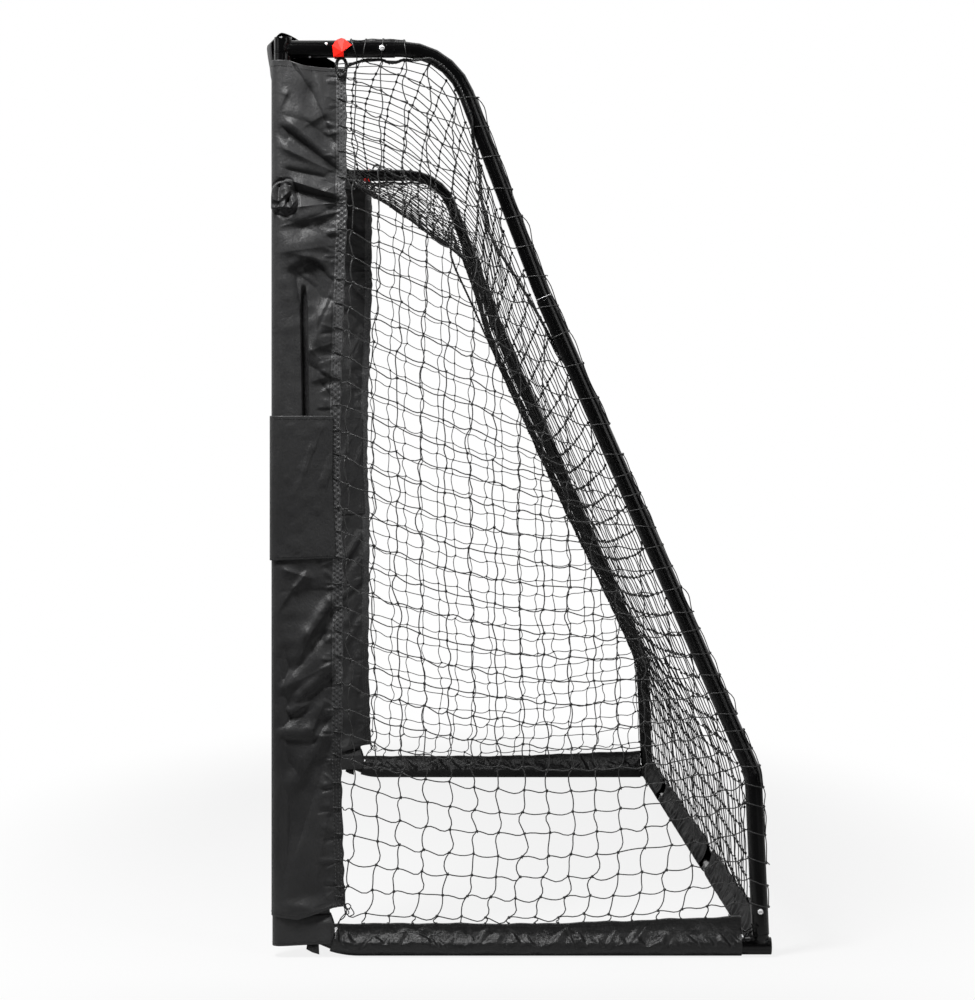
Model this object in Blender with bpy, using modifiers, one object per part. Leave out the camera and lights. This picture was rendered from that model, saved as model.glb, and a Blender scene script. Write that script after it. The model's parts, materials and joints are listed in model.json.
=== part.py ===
"""Portable soccer goal: telescoping steel tubes held by spring buttons, with fabric covers, sleeves, ropes and a knotted net.

Metres. +Z is up, the mouth faces -Y, X runs along the crossbar, and the origin is on the floor under the middle of the whole goal.
"""

import math

import bmesh
import bpy
from mathutils import Matrix, Vector

# Clearances
FIT_GAP = 0.0003
HOLE_GAP = 0.0003

# Tubes: the narrow one telescopes into the wide one
WIDE_TUBE_R = 0.019
NARROW_TUBE_R = 0.0175
TUBE_WALL = 0.001
TUBE_SIDES = 16

# Goal size
OVERALL_WIDTH = 3.0
RAIL_Z = 1.964
SLEEVE_WALL = 0.003
HALF_SPACING = OVERALL_WIDTH / 2 - WIDE_TUBE_R
BASE_Z = SLEEVE_WALL + FIT_GAP + WIDE_TUBE_R

# Side profile, front to back
RAIL_RUN = 0.3607
UPPER_SLOPE = math.radians(20.75)
KINK_Z = 1.442
LOWER_SLOPE = math.radians(23.7)
KNEE_Z = 0.394
LEG_LEAN = math.radians(2.6)
RAIL_BEND_R = 0.15
KINK_BEND_R = 0.4
KNEE_BEND_R = 0.1
POST_BEND_R = 0.165
BEND_STEP = math.radians(15)

# Joints of the frame
JOINT_LAP = 0.09
POST_STUB = 0.16
RAIL_STUB = 0.243
CROSSBAR_STUB = 0.15
UPPER_POST_END_Z = 0.96
BASE_JOINT_BACK = 0.06
CORNER_OVERHANG = 0.0195
LEG_START_Z = 0.0476
BAR_JOINT_SHARE = 0.345
POST_STUB_TOP = 0.006
RAIL_BUTTON_IN = 0.028
LEG_BUTTON_UP = 0.052

# Spring buttons
BUTTON_R = 0.006
BUTTON_PROUD = 0.0045
BUTTON_DOME = 0.002
BUTTON_SIDES = 8
LEAF_WIDTH = 0.014
LEAF_LENGTH = 0.05
LEAF_THICKNESS = 0.001
PLUG_DEPTH = 0.02
PLUG_FLANGE = 0.002

# Fabric covers
COVER_WALL = 0.002
COVER_FRONT_R = 0.0245
COVER_TAIL = 0.1338
COVER_HEM_HALF = 0.005
COVER_TOP_DROP = 0.032
COVER_BOTTOM_Z = 0.098
FLAP_BOTTOM_Z = 0.024
FLAP_TAIL = 0.1
COVER_FLARE_Z = 0.2
BAND_TOP_Z = 1.169
BAND_BOTTOM_Z = 0.857
BAND_TAIL = 0.125
CROSSBAR_COVER_REACH = 0.039
CROSSBAR_COVER_RISE = 0.035
CROSSBAR_HEM_BACK = 0.115
CROSSBAR_HEM_DROP = 0.03
CROSSBAR_HEM_SAG = 0.11

# Fabric sleeves on the base
SLEEVE_FIN = 0.056
SLEEVE_FIN_HALF = 0.0045
BASE_SLEEVE_FRONT = 0.106
BASE_SLEEVE_REAR_GAP = 0.042
REAR_SLEEVE_GAPS = ((0.325, 0.365), (0.762, 0.792))
REAR_SLEEVE_END_GAP = 0.035

# Net, ropes and trim
TWINE = 0.003
SIDE_NET_COLUMN_COUNT = 5
SIDE_NET_ROW_COUNT = 10
BACK_NET_COLUMN_COUNT = 11
ROOF_NET_ROW_COUNT = 2
BACK_NET_ROW_COUNT = 7
ROPE_R = 0.003
ROPE_SAG = 0.065
ROPE_SAG_START_Z = 1.745
ROPE_SAG_END_Z = 1.33
ROPE_END_Z = 0.1
ROPE_START_BACK = 0.153
NET_SAG_SHAPE = 2.5
NET_ROPE_ROOM = 0.016
NET_JOIN_GAP = 0.003
ROOF_NET_SHARE = 0.22
LEG_NET_SHARE = 0.8
ROOF_LOW_POINTS = ((0.322, 0.291), (0.436, 0.377))
BACK_NET_SAGS = ((1.4, 0.07), (1.1, 0.06), (0.8, 0.05), (KNEE_Z, 0.03))
CLIP_WALL = 0.003
CLIP_WIDTH = 0.024
CLIP_BACK = 0.124
LOOP_R = 0.0025
LOOP_HALF_WIDTH = 0.0095
LOOP_HALF_HEIGHT = 0.0175
LOOP_OUT = 0.0105

# Worked out from the above
NARROW_BORE_R = NARROW_TUBE_R - TUBE_WALL
WIDE_BORE_R = WIDE_TUBE_R - TUBE_WALL
BEND_TO_KINK = (RAIL_Z - KINK_Z) * math.tan(UPPER_SLOPE)
KINK_TO_KNEE = (KINK_Z - KNEE_Z) * math.tan(LOWER_SLOPE)
KNEE_TO_FOOT = (KNEE_Z - BASE_Z) * math.tan(LEG_LEAN)
FRAME_DEPTH = RAIL_RUN + BEND_TO_KINK + KINK_TO_KNEE + KNEE_TO_FOOT
REAR_REACH = max(CORNER_OVERHANG + PLUG_FLANGE, WIDE_TUBE_R + FIT_GAP + SLEEVE_WALL)
POST_Y = (CROSSBAR_COVER_REACH - REAR_REACH - FRAME_DEPTH) / 2
BEND_Y = POST_Y + RAIL_RUN
KINK_Y = BEND_Y + BEND_TO_KINK
KNEE_Y = KINK_Y + KINK_TO_KNEE
FOOT_Y = KNEE_Y + KNEE_TO_FOOT
HEM_Y = POST_Y + COVER_TAIL
COVER_TOP_Z = RAIL_Z - COVER_TOP_DROP
SIDES = (("right", 1), ("left", -1))


def clear_scene():
    for item in list(bpy.data.objects):
        bpy.data.objects.remove(item, do_unlink=True)


def new_collection(name):
    collection = bpy.data.collections.new(name)
    bpy.context.scene.collection.children.link(collection)
    return collection


def material(name, colour, roughness, metallic):
    made = bpy.data.materials.new(name)
    made.use_nodes = True
    shader = made.node_tree.nodes["Principled BSDF"]
    shader.inputs["Base Color"].default_value = (*colour, 1)
    shader.inputs["Roughness"].default_value = roughness
    shader.inputs["Metallic"].default_value = metallic
    return made


def black_steel():
    return material("black_steel", (0.012, 0.012, 0.013), 0.28, 0.0)


def zinc_steel():
    return material("zinc_steel", (0.78, 0.78, 0.78), 0.25, 1.0)


def cover_fabric():
    return material("cover_fabric", (0.045, 0.045, 0.047), 0.5, 0.0)


def sleeve_fabric():
    return material("sleeve_fabric", (0.035, 0.035, 0.036), 0.55, 0.0)


def net_twine():
    return material("net_twine", (0.012, 0.012, 0.012), 0.8, 0.0)


def red_plastic():
    return material("red_plastic", (0.95, 0.06, 0.03), 0.4, 0.0)


def black_plastic():
    return material("black_plastic", (0.015, 0.015, 0.015), 0.4, 0.0)


def finish(item, collection, paint):
    """Puts an object in its collection, paints it and shades its round faces smooth."""
    collection.objects.link(item)
    item.data.materials.clear()
    item.data.materials.append(paint)
    if item.type == "MESH":
        item.data.shade_smooth()
        item.data.set_sharp_from_angle(angle=math.radians(40))
    return item


def mesh_object(name, bm, collection, paint):
    bmesh.ops.recalc_face_normals(bm, faces=bm.faces)
    mesh = bpy.data.meshes.new(name)
    bm.to_mesh(mesh)
    bm.free()
    return finish(bpy.data.objects.new(name, mesh), collection, paint)


def solidify(item, thickness, offset=-1):
    shell = item.modifiers.new("wall", "SOLIDIFY")
    shell.thickness = thickness
    shell.offset = offset
    shell.use_even_offset = True
    return item


def boolean(item, other, operation):
    cut = item.modifiers.new(f"{operation.lower()}_{other.name}", "BOOLEAN")
    cut.operation = operation
    cut.object = other
    return item


def as_cutter(item):
    item.hide_render = True
    item.display_type = "WIRE"
    return item


def cylinder(name, start, end, radius, sides, collection, paint, twist=0.0):
    """A closed cylinder from one point to another."""
    axis = Vector(end) - Vector(start)
    turn = axis.to_track_quat("Z", "Y").to_matrix().to_4x4() @ Matrix.Rotation(twist, 4, "Z")
    place = Matrix.Translation((Vector(start) + Vector(end)) / 2) @ turn
    bm = bmesh.new()
    bmesh.ops.create_cone(
        bm, cap_ends=True, segments=sides, radius1=radius, radius2=radius, depth=axis.length, matrix=place
    )
    return mesh_object(name, bm, collection, paint)


def rounded_path(corners, radii):
    """The points of a flat path whose inner corners are arcs of the given radii."""
    points = [Vector(corners[0])]
    for before, corner, after, radius in zip(corners, corners[1:], corners[2:], radii):
        into = (Vector(corner) - Vector(before)).normalized()
        out = (Vector(after) - Vector(corner)).normalized()
        turn = into.angle(out)
        side = (out - into * into.dot(out)).normalized()
        start = Vector(corner) - into * radius * math.tan(turn / 2)
        centre = start + side * radius
        steps = max(1, math.ceil(turn / BEND_STEP - 0.001))
        for i in range(steps + 1):
            angle = turn * i / steps
            points.append(centre - side * radius * math.cos(angle) + into * radius * math.sin(angle))
    points.append(Vector(corners[-1]))
    return points


def curve_mesh(name, points, radius, sides, closed=False, capped=False):
    """The mesh of a bevelled curve through the points, its caps welded."""
    curve = bpy.data.curves.new(name, "CURVE")
    curve.dimensions = "3D"
    curve.bevel_depth = radius
    curve.bevel_resolution = (sides - 4) // 2
    curve.use_fill_caps = capped
    spline = curve.splines.new("POLY")
    spline.points.add(len(points) - 1)
    for slot, point in zip(spline.points, points):
        slot.co = (*point, 1)
    spline.use_cyclic_u = closed
    guide = bpy.data.objects.new(name, curve)
    bpy.context.scene.collection.objects.link(guide)
    bpy.context.view_layer.update()
    mesh = bpy.data.meshes.new_from_object(guide.evaluated_get(bpy.context.evaluated_depsgraph_get()))
    bpy.data.objects.remove(guide)
    bm = bmesh.new()
    bm.from_mesh(mesh)
    bpy.data.meshes.remove(mesh)
    bmesh.ops.remove_doubles(bm, verts=bm.verts, dist=0.00001)
    return bm


def tube(name, points, radius, collection, paint):
    """An open-ended steel tube along the points."""
    bm = curve_mesh(name, points, radius, TUBE_SIDES)
    return solidify(mesh_object(name, bm, collection, paint), TUBE_WALL)


def rope(name, points, radius, collection, paint, closed=False):
    bm = curve_mesh(name, points, radius, 6, closed=closed, capped=not closed)
    return mesh_object(name, bm, collection, paint)


def in_side_plane(x, points):
    return [Vector((x, p[0], p[1])) for p in points]


def loft(name, rings, collection, paint, ring_closed=True):
    """An open surface through rings that have the same number of points."""
    bm = bmesh.new()
    rows = [[bm.verts.new(point) for point in ring] for ring in rings]
    count = len(rings[0])
    for low, high in zip(rows, rows[1:]):
        for i in range(count if ring_closed else count - 1):
            j = (i + 1) % count
            bm.faces.new((low[i], low[j], high[j], high[i]))
    return mesh_object(name, bm, collection, paint)


def cover_half_width(along):
    """Half the thickness of a post cover's outside at this distance behind the post's axis."""
    if along <= 0:
        return math.sqrt(max(0.0, COVER_FRONT_R**2 - along**2))
    share = min(1.0, along / COVER_TAIL)
    return COVER_FRONT_R + (COVER_HEM_HALF - COVER_FRONT_R) * share * share * (3 - 2 * share)


def cover_section(grow=0.0, arc_steps=8):
    """(along, across) points of a post cover's outline, from the hem round the front and back to the hem."""
    arc = []
    for i in range(arc_steps + 1):
        angle = math.pi / 2 + math.pi * i / arc_steps
        arc.append(((COVER_FRONT_R + grow) * math.cos(angle), (COVER_FRONT_R + grow) * math.sin(angle)))
    stops = (COVER_TAIL, FLAP_TAIL, FLAP_TAIL * 0.7, FLAP_TAIL * 0.35)
    upper = [(along, cover_half_width(along) + grow) for along in stops]
    lower = [(along, -across) for along, across in reversed(upper)]
    return upper + arc + lower


def spring_button(name, joint, direction, along, collection, paint):
    """A domed pin on a leaf inside the inner tube. joint is on the tube's axis, direction points out of the pin's hole."""
    out = Vector(direction).normalized()
    run = Vector(along).normalized()
    wide = out.cross(run)
    leaf_top = math.sqrt(NARROW_BORE_R**2 - (LEAF_WIDTH / 2) ** 2) * math.cos(math.pi / TUBE_SIDES) - FIT_GAP
    place = Matrix((wide, run, out)).transposed().to_4x4()
    place.translation = joint
    bm = bmesh.new()
    leaf = Matrix.Translation((0, LEAF_LENGTH / 2 - LEAF_WIDTH / 2, leaf_top - LEAF_THICKNESS / 2))
    bmesh.ops.create_cube(bm, size=1, matrix=leaf @ Matrix.Diagonal((LEAF_WIDTH, LEAF_LENGTH, LEAF_THICKNESS, 1)))
    bm.transform(place)
    button = mesh_object(name, bm, collection, paint)
    top = WIDE_TUBE_R + BUTTON_PROUD
    profile = (
        (BUTTON_R, leaf_top - LEAF_THICKNESS / 2),
        (BUTTON_R, top - BUTTON_DOME),
        (BUTTON_R * 0.6, top - BUTTON_DOME * 0.25),
    )
    bm = bmesh.new()
    rings = []
    for radius, height in profile:
        ring = []
        for i in range(BUTTON_SIDES):
            angle = 2 * math.pi * (i + 0.5) / BUTTON_SIDES
            ring.append(bm.verts.new((radius * math.cos(angle), radius * math.sin(angle), height)))
        rings.append(ring)
    for low, high in zip(rings, rings[1:]):
        for i in range(BUTTON_SIDES):
            j = (i + 1) % BUTTON_SIDES
            bm.faces.new((low[i], low[j], high[j], high[i]))
    bm.faces.new(rings[0])
    tip = bm.verts.new((0, 0, top))
    for i in range(BUTTON_SIDES):
        bm.faces.new((rings[-1][i], rings[-1][(i + 1) % BUTTON_SIDES], tip))
    bm.transform(place)
    pin = as_cutter(mesh_object(f"{name}_pin", bm, CUTTERS, paint))
    return boolean(button, pin, "UNION")


def button_hole(name, joint, direction, paint):
    """The cutter for the hole that a button's pin passes in both tubes."""
    out = Vector(direction).normalized()
    start = Vector(joint) + out * NARROW_BORE_R * 0.5
    end = Vector(joint) + out * (WIDE_TUBE_R + 2 * BUTTON_PROUD)
    return as_cutter(cylinder(name, start, end, BUTTON_R + HOLE_GAP, BUTTON_SIDES * 2, CUTTERS, paint))


def buttoned_joint(name, joint, direction, along, tubes, paint):
    """A spring button, and its hole through the tubes that it locks."""
    hole = button_hole(f"{name}_hole", joint, direction, paint)
    for item in tubes:
        boolean(item, hole, "DIFFERENCE")
    return spring_button(name, joint, direction, along, PARTS, paint)


def top_corner(side_name, side, paint):
    """Three wide tubes welded at the top of a post: post stub, rail stub and crossbar stub."""
    x = side * HALF_SPACING
    node = Vector((x, POST_Y, RAIL_Z))
    half_step = math.pi / TUBE_SIDES
    top = node + Vector((0, 0, WIDE_TUBE_R + POST_STUB_TOP))
    name = f"top_corner_{side_name}"
    post_end = node + Vector((0, 0, -POST_STUB))
    body = cylinder(name, top, post_end, WIDE_TUBE_R, TUBE_SIDES, PARTS, paint)
    stubs = (
        ("post", post_end, 0.0),
        ("rail", node + Vector((0, RAIL_STUB, 0)), half_step / 2),
        ("crossbar", node + Vector((-side * CROSSBAR_STUB, 0, 0)), half_step),
    )
    bores = []
    for part, end, twist in stubs:
        away = (end - node).normalized()
        if part != "post":
            stub = cylinder(f"{name}_{part}", node, end, WIDE_TUBE_R, TUBE_SIDES, CUTTERS, paint, twist)
            boolean(body, as_cutter(stub), "UNION")
        ends = node + away * POST_STUB_TOP, end + away * TUBE_WALL
        bores.append(cylinder(f"{name}_{part}_bore", *ends, WIDE_BORE_R, TUBE_SIDES, CUTTERS, paint, twist))
    for bore in bores:
        boolean(body, as_cutter(bore), "DIFFERENCE")
    return body


def rear_corner(side_name, side, paint):
    """The wide base tube's rear end with narrow spigots for the base tube, the rear leg and the rear bar."""
    x = side * HALF_SPACING
    node = Vector((x, FOOT_Y, BASE_Z))
    rear = node + Vector((0, CORNER_OVERHANG, 0))
    shoulder = node + Vector((0, -BASE_JOINT_BACK, 0))
    up = Vector((0, -math.sin(LEG_LEAN), math.cos(LEG_LEAN)))
    spigots = (
        ("base", shoulder + Vector((0, TUBE_WALL * 3, 0)), shoulder + Vector((0, -JOINT_LAP, 0))),
        ("leg", node, node + up * (LEG_START_Z - BASE_Z + JOINT_LAP)),
        ("bar", node, node + Vector((-side * (WIDE_TUBE_R + JOINT_LAP), 0, 0))),
    )
    name = f"rear_corner_{side_name}"
    body = cylinder(name, shoulder, rear, WIDE_TUBE_R, TUBE_SIDES, PARTS, paint)
    bores = []
    for part, start, end in spigots:
        outer = cylinder(f"{name}_{part}", start, end, NARROW_TUBE_R, TUBE_SIDES, CUTTERS, paint)
        boolean(body, as_cutter(outer), "UNION")
        past = end + (end - start).normalized() * TUBE_WALL
        bores.append(cylinder(f"{name}_{part}_bore", start, past, NARROW_BORE_R, TUBE_SIDES, CUTTERS, paint))
    main_start = shoulder + Vector((0, TUBE_WALL, 0))
    main_end = rear + Vector((0, TUBE_WALL, 0))
    bores.append(cylinder(f"{name}_main_bore", main_start, main_end, WIDE_BORE_R, TUBE_SIDES, CUTTERS, paint))
    for bore in bores:
        boolean(body, as_cutter(bore), "DIFFERENCE")
    return body


def end_plug(side_name, side, paint):
    """The plastic plug in the base tube's rear end: a shank in the bore and a flange on the end."""
    x = side * HALF_SPACING
    end_y = FOOT_Y + CORNER_OVERHANG
    name = f"end_plug_{side_name}"
    shank_start = Vector((x, end_y - PLUG_DEPTH + WIDE_TUBE_R * 0.6, BASE_Z))
    face = Vector((x, end_y + FIT_GAP, BASE_Z))
    back = Vector((x, end_y + PLUG_FLANGE, BASE_Z))
    shank_r = WIDE_BORE_R * math.cos(math.pi / TUBE_SIDES) - FIT_GAP
    flange = cylinder(name, face, back, WIDE_TUBE_R, TUBE_SIDES, PARTS, paint)
    middle = face.lerp(back, 0.5)
    shank = cylinder(f"{name}_shank", shank_start, middle, shank_r, TUBE_SIDES, CUTTERS, paint)
    return boolean(flange, as_cutter(shank), "UNION")


def post_tubes(side_name, side, paint):
    """The straight upper post, and the lower post that bends into the base tube."""
    x = side * HALF_SPACING
    stub_end = RAIL_Z - POST_STUB
    upper = tube(
        f"upper_post_{side_name}",
        in_side_plane(x, [(POST_Y, stub_end + JOINT_LAP), (POST_Y, UPPER_POST_END_Z - JOINT_LAP)]),
        NARROW_TUBE_R,
        PARTS,
        paint,
    )
    base_end = FOOT_Y - BASE_JOINT_BACK - FIT_GAP
    path = rounded_path([(POST_Y, UPPER_POST_END_Z), (POST_Y, BASE_Z), (base_end, BASE_Z)], [POST_BEND_R])
    lower = tube(f"lower_post_{side_name}", in_side_plane(x, path), WIDE_TUBE_R, PARTS, paint)
    return upper, lower


def along_lower_slope(distance):
    """A side-plane point on the lower side tube's axis, this far below the kink."""
    return (KINK_Y + distance * math.sin(LOWER_SLOPE), KINK_Z - distance * math.cos(LOWER_SLOPE))


def side_tubes(side_name, side, paint):
    """The narrow tube of rail, bend and upper slope, and the wide one of lower slope and leg."""
    x = side * HALF_SPACING
    start = (POST_Y + RAIL_STUB - JOINT_LAP, RAIL_Z)
    joint_start = 2 * KINK_BEND_R * math.tan((LOWER_SLOPE - UPPER_SLOPE) / 2)
    upper_path = rounded_path(
        [start, (BEND_Y, RAIL_Z), (KINK_Y, KINK_Z), along_lower_slope(joint_start + JOINT_LAP)],
        [RAIL_BEND_R, KINK_BEND_R],
    )
    upper = tube(f"top_side_tube_{side_name}", in_side_plane(x, upper_path), NARROW_TUBE_R, PARTS, paint)
    leg_end_y = FOOT_Y - (LEG_START_Z - BASE_Z) * math.tan(LEG_LEAN)
    lower_path = rounded_path([along_lower_slope(joint_start), (KNEE_Y, KNEE_Z), (leg_end_y, LEG_START_Z)], [KNEE_BEND_R])
    lower = tube(f"lower_side_tube_{side_name}", in_side_plane(x, lower_path), WIDE_TUBE_R, PARTS, paint)
    return upper, lower


def straight_bar(name, x_start, x_end, y, z, radius, paint):
    return tube(name, [Vector((x_start, y, z)), Vector((x_end, y, z))], radius, PARTS, paint)


def crossbar_tubes(paint):
    """Two narrow outer lengths and the wide middle one that takes both."""
    stub_end = HALF_SPACING - CROSSBAR_STUB
    joint = HALF_SPACING * (1 - 2 * BAR_JOINT_SHARE)
    middle = straight_bar("crossbar_middle", -joint, joint, POST_Y, RAIL_Z, WIDE_TUBE_R, paint)
    outer = {}
    for side_name, side in SIDES:
        ends = side * (stub_end + JOINT_LAP), side * (joint - JOINT_LAP)
        outer[side_name] = straight_bar(f"crossbar_{side_name}", *ends, POST_Y, RAIL_Z, NARROW_TUBE_R, paint)
    return middle, outer


def rear_bar_tubes(paint):
    """Two wide outer lengths over the corner spigots, and the narrow middle one between them."""
    joint = HALF_SPACING * (1 - 2 * BAR_JOINT_SHARE)
    start = HALF_SPACING - WIDE_TUBE_R - FIT_GAP
    reach = joint + JOINT_LAP
    middle = straight_bar("rear_bar_middle", -reach, reach, FOOT_Y, BASE_Z, NARROW_TUBE_R, paint)
    outer = {}
    for side_name, side in SIDES:
        outer[side_name] = straight_bar(
            f"rear_bar_{side_name}", side * start, side * joint, FOOT_Y, BASE_Z, WIDE_TUBE_R, paint
        )
    return middle, outer


def post_cover(side_name, side, paint):
    """The fabric round a post, drawn in to the hem behind it, with an open-backed flap below."""
    x = side * HALF_SPACING
    section = cover_section()
    flared = []
    for along, across in section:
        wide = math.copysign(COVER_FRONT_R, across) if 0 < along <= FLAP_TAIL else across
        flared.append((along, wide))
    levels = ((COVER_TOP_Z, section), (COVER_FLARE_Z, section), (COVER_BOTTOM_Z, flared))
    bm = bmesh.new()
    rows = [[bm.verts.new((x + b, POST_Y + a, z)) for a, b in outline] for z, outline in levels]
    count = len(section)
    for high, low in zip(rows, rows[1:]):
        for i in range(count):
            j = (i + 1) % count
            bm.faces.new((high[i], high[j], low[j], low[i]))
    flap = range(1, count - 1)
    lowest = {i: bm.verts.new((x + flared[i][1], POST_Y + flared[i][0], FLAP_BOTTOM_Z)) for i in flap}
    for i in flap[:-1]:
        bm.faces.new((rows[-1][i], rows[-1][i + 1], lowest[i + 1], lowest[i]))
    return solidify(mesh_object(f"post_cover_{side_name}", bm, PARTS, paint), COVER_WALL)


def cover_band(side_name, side, paint):
    """The wide band sewn round a post cover, open behind at the hem."""
    x = side * HALF_SPACING
    outline = cover_section(FIT_GAP + COVER_WALL)
    share = (BAND_TAIL - FLAP_TAIL) / (COVER_TAIL - FLAP_TAIL)
    end_half = outline[1][1] + (outline[0][1] - outline[1][1]) * share
    section = [(BAND_TAIL, end_half)] + outline[1:-1] + [(BAND_TAIL, -end_half)]
    rings = [[(x + b, POST_Y + a, z) for a, b in section] for z in (BAND_TOP_Z, BAND_BOTTOM_Z)]
    return solidify(loft(f"cover_band_{side_name}", rings, PARTS, paint, ring_closed=False), COVER_WALL)


def smooth_loop(corners, steps):
    """A closed Catmull-Rom curve through the corners."""
    count = len(corners)
    points = []
    for i in range(count):
        a, b, c, d = (Vector(corners[(i + k - 1) % count]) for k in range(4))
        for k in range(steps):
            t = k / steps
            even = 2 * b + (c - a) * t
            points.append((even + (2 * a - 5 * b + 4 * c - d) * t * t + (3 * b - a - 3 * c + d) * t**3) / 2)
    return points


def crossbar_cover_loop(share):
    """(back, up) points of the crossbar cover's outline from the crossbar's axis, at a share from -1 to 1 of its width."""
    droop = CROSSBAR_HEM_SAG * (1 - share * share)
    hem = (CROSSBAR_HEM_BACK, -CROSSBAR_HEM_DROP - droop)
    seat = WIDE_TUBE_R + COVER_WALL + 3 * FIT_GAP
    ridge = seat + (CROSSBAR_COVER_RISE - seat) * share * share
    outline = [
        (hem[0], hem[1] + COVER_HEM_HALF),
        (0.06, 0.004 - droop * 0.4),
        (0.0234, ridge - 0.004 - 0.0065 * share * share),
        (-0.007, ridge),
        (-0.03, ridge - 0.0095),
        (-CROSSBAR_COVER_REACH, 0.002),
        (-0.033, -0.035),
        (-0.018, -0.062 - droop * 0.1),
        (0.02, -0.056 - droop * 0.5),
        (0.065, -0.042 - droop * 0.8),
        (hem[0], hem[1] - COVER_HEM_HALF),
    ]
    return smooth_loop(outline, 2)


def crossbar_hem(share):
    """Side-plane point at the very edge of the crossbar cover's hem."""
    end = max(point[0] for point in crossbar_cover_loop(share))
    droop = CROSSBAR_HEM_SAG * (1 - share * share)
    return (POST_Y + end + 3 * FIT_GAP, RAIL_Z - CROSSBAR_HEM_DROP - droop)


def crossbar_cover(paint):
    """The loose fabric round the crossbar. Its hem hangs lower towards the middle, where the net pulls it."""
    reach = HALF_SPACING - COVER_FRONT_R - COVER_WALL + FIT_GAP
    stations = 9
    rings = []
    for i in range(stations):
        share = 2 * i / (stations - 1) - 1
        rings.append([(share * reach, POST_Y + p[0], RAIL_Z + p[1]) for p in crossbar_cover_loop(share)])
    return solidify(loft("crossbar_cover", rings, PARTS, paint), COVER_WALL)


def sleeve_section(fin=SLEEVE_FIN):
    """(up, across) points of a sleeve round a base tube, with its fin upwards and a flat underside."""
    radius = WIDE_TUBE_R + FIT_GAP + SLEEVE_WALL
    tip = math.hypot(fin, SLEEVE_FIN_HALF)
    lift = math.asin(radius / tip) - math.atan2(SLEEVE_FIN_HALF, fin)
    facets = 4
    half_facet = (math.pi / 2 + lift) / (2 * facets + 1)
    outer = radius / math.cos(half_facet)
    half = []
    for i in range(facets + 1):
        angle = half_facet * (2 * i + 1)
        half.append((-outer * math.cos(angle), outer * math.sin(angle)))
    half.append((fin, SLEEVE_FIN_HALF))
    return [(up, -across) for up, across in reversed(half)] + half


def base_sleeve(side_name, side, paint):
    """The sleeve along a base tube, which follows the tube's bend in front."""
    x = side * HALF_SPACING
    rear = FOOT_Y - BASE_SLEEVE_REAR_GAP
    start_y = POST_Y + BASE_SLEEVE_FRONT
    bend_y = POST_Y + POST_BEND_R
    bend_z = BASE_Z + POST_BEND_R
    arc = [
        Vector((bend_y - POST_BEND_R * math.sin(BEND_STEP * i), bend_z - POST_BEND_R * math.cos(BEND_STEP * i)))
        for i in range(3)
    ]
    start = arc[1].lerp(arc[2], (arc[1][0] - start_y) / (arc[1][0] - arc[2][0]))
    stations = (
        (*start, BEND_STEP * 1.5),
        (*arc[1], BEND_STEP),
        (*arc[0], BEND_STEP / 4),
        (rear, BASE_Z, 0.0),
    )
    rings = []
    for y, z, angle in stations:
        fin = (BASE_Z + SLEEVE_FIN - z) / math.cos(angle)
        lean, rise = math.sin(angle), math.cos(angle)
        rings.append([(x + b, y + lean * a, z + rise * a) for a, b in sleeve_section(fin)])
    return solidify(loft(f"base_sleeve_{side_name}", rings, PARTS, paint), SLEEVE_WALL)


def rear_sleeves(paint):
    """The sleeves along the rear bar, with the gaps between them."""
    edges = [REAR_SLEEVE_END_GAP / (2 * HALF_SPACING)]
    for gap in REAR_SLEEVE_GAPS:
        edges.extend(gap)
    edges.append(1 - edges[0])
    made = []
    for name, start, end in zip(("right", "middle", "left"), edges[::2], edges[1::2]):
        rings = []
        for share in (start, end):
            x = HALF_SPACING * (1 - 2 * share)
            rings.append([(x, FOOT_Y - b, BASE_Z + a) for a, b in sleeve_section()])
        made.append(solidify(loft(f"rear_sleeve_{name}", rings, PARTS, paint), SLEEVE_WALL))
    return made


def slope_point(z):
    """(y, z) of the side tubes' axis at this height, and the direction down it."""
    if z > KINK_Z:
        return KINK_Y - (z - KINK_Z) * math.tan(UPPER_SLOPE), UPPER_SLOPE
    if z > KNEE_Z:
        return KINK_Y + (KINK_Z - z) * math.tan(LOWER_SLOPE), LOWER_SLOPE
    return KNEE_Y + (KNEE_Z - z) * math.tan(LEG_LEAN), LEG_LEAN


def rope_path(offset):
    """Side-plane points under the rail and inside the slope, this far from the wide tube's axis, with the sag between."""
    points = [(POST_Y + ROPE_START_BACK, RAIL_Z - offset)]
    bend_start = BEND_Y - RAIL_BEND_R * math.tan((math.pi / 2 - UPPER_SLOPE) / 2)
    centre = (bend_start, RAIL_Z - RAIL_BEND_R)
    points.append((bend_start - 0.03, RAIL_Z - offset))
    inner = RAIL_BEND_R - offset
    for i in range(5):
        angle = (math.pi / 2 - UPPER_SLOPE) * i / 4
        points.append((centre[0] + inner * math.sin(angle), centre[1] + inner * math.cos(angle)))
    heights = [ROPE_SAG_START_Z + (ROPE_SAG_END_Z - ROPE_SAG_START_Z) * i / 8 for i in range(9)]
    heights += [1.2, 0.8, KNEE_Z + 0.045, KNEE_Z - 0.03, ROPE_END_Z]
    for z in heights:
        y, lean = slope_point(z)
        share = (ROPE_SAG_START_Z - z) / (ROPE_SAG_START_Z - ROPE_SAG_END_Z)
        sag = ROPE_SAG * math.sin(math.pi * share) ** 1.5 if 0 < share < 1 else 0
        points.append((y - (offset + sag) * math.cos(lean), z - (offset + sag) * math.sin(lean)))
    return points


def on_path(points, share):
    """The point at this share of a polyline's length."""
    vectors = [Vector(p) for p in points]
    lengths = [(b - a).length for a, b in zip(vectors, vectors[1:])]
    left = share * sum(lengths)
    for a, b, length in zip(vectors, vectors[1:], lengths):
        if left <= length:
            return a.lerp(b, left / length)
        left -= length
    return vectors[-1]


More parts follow.
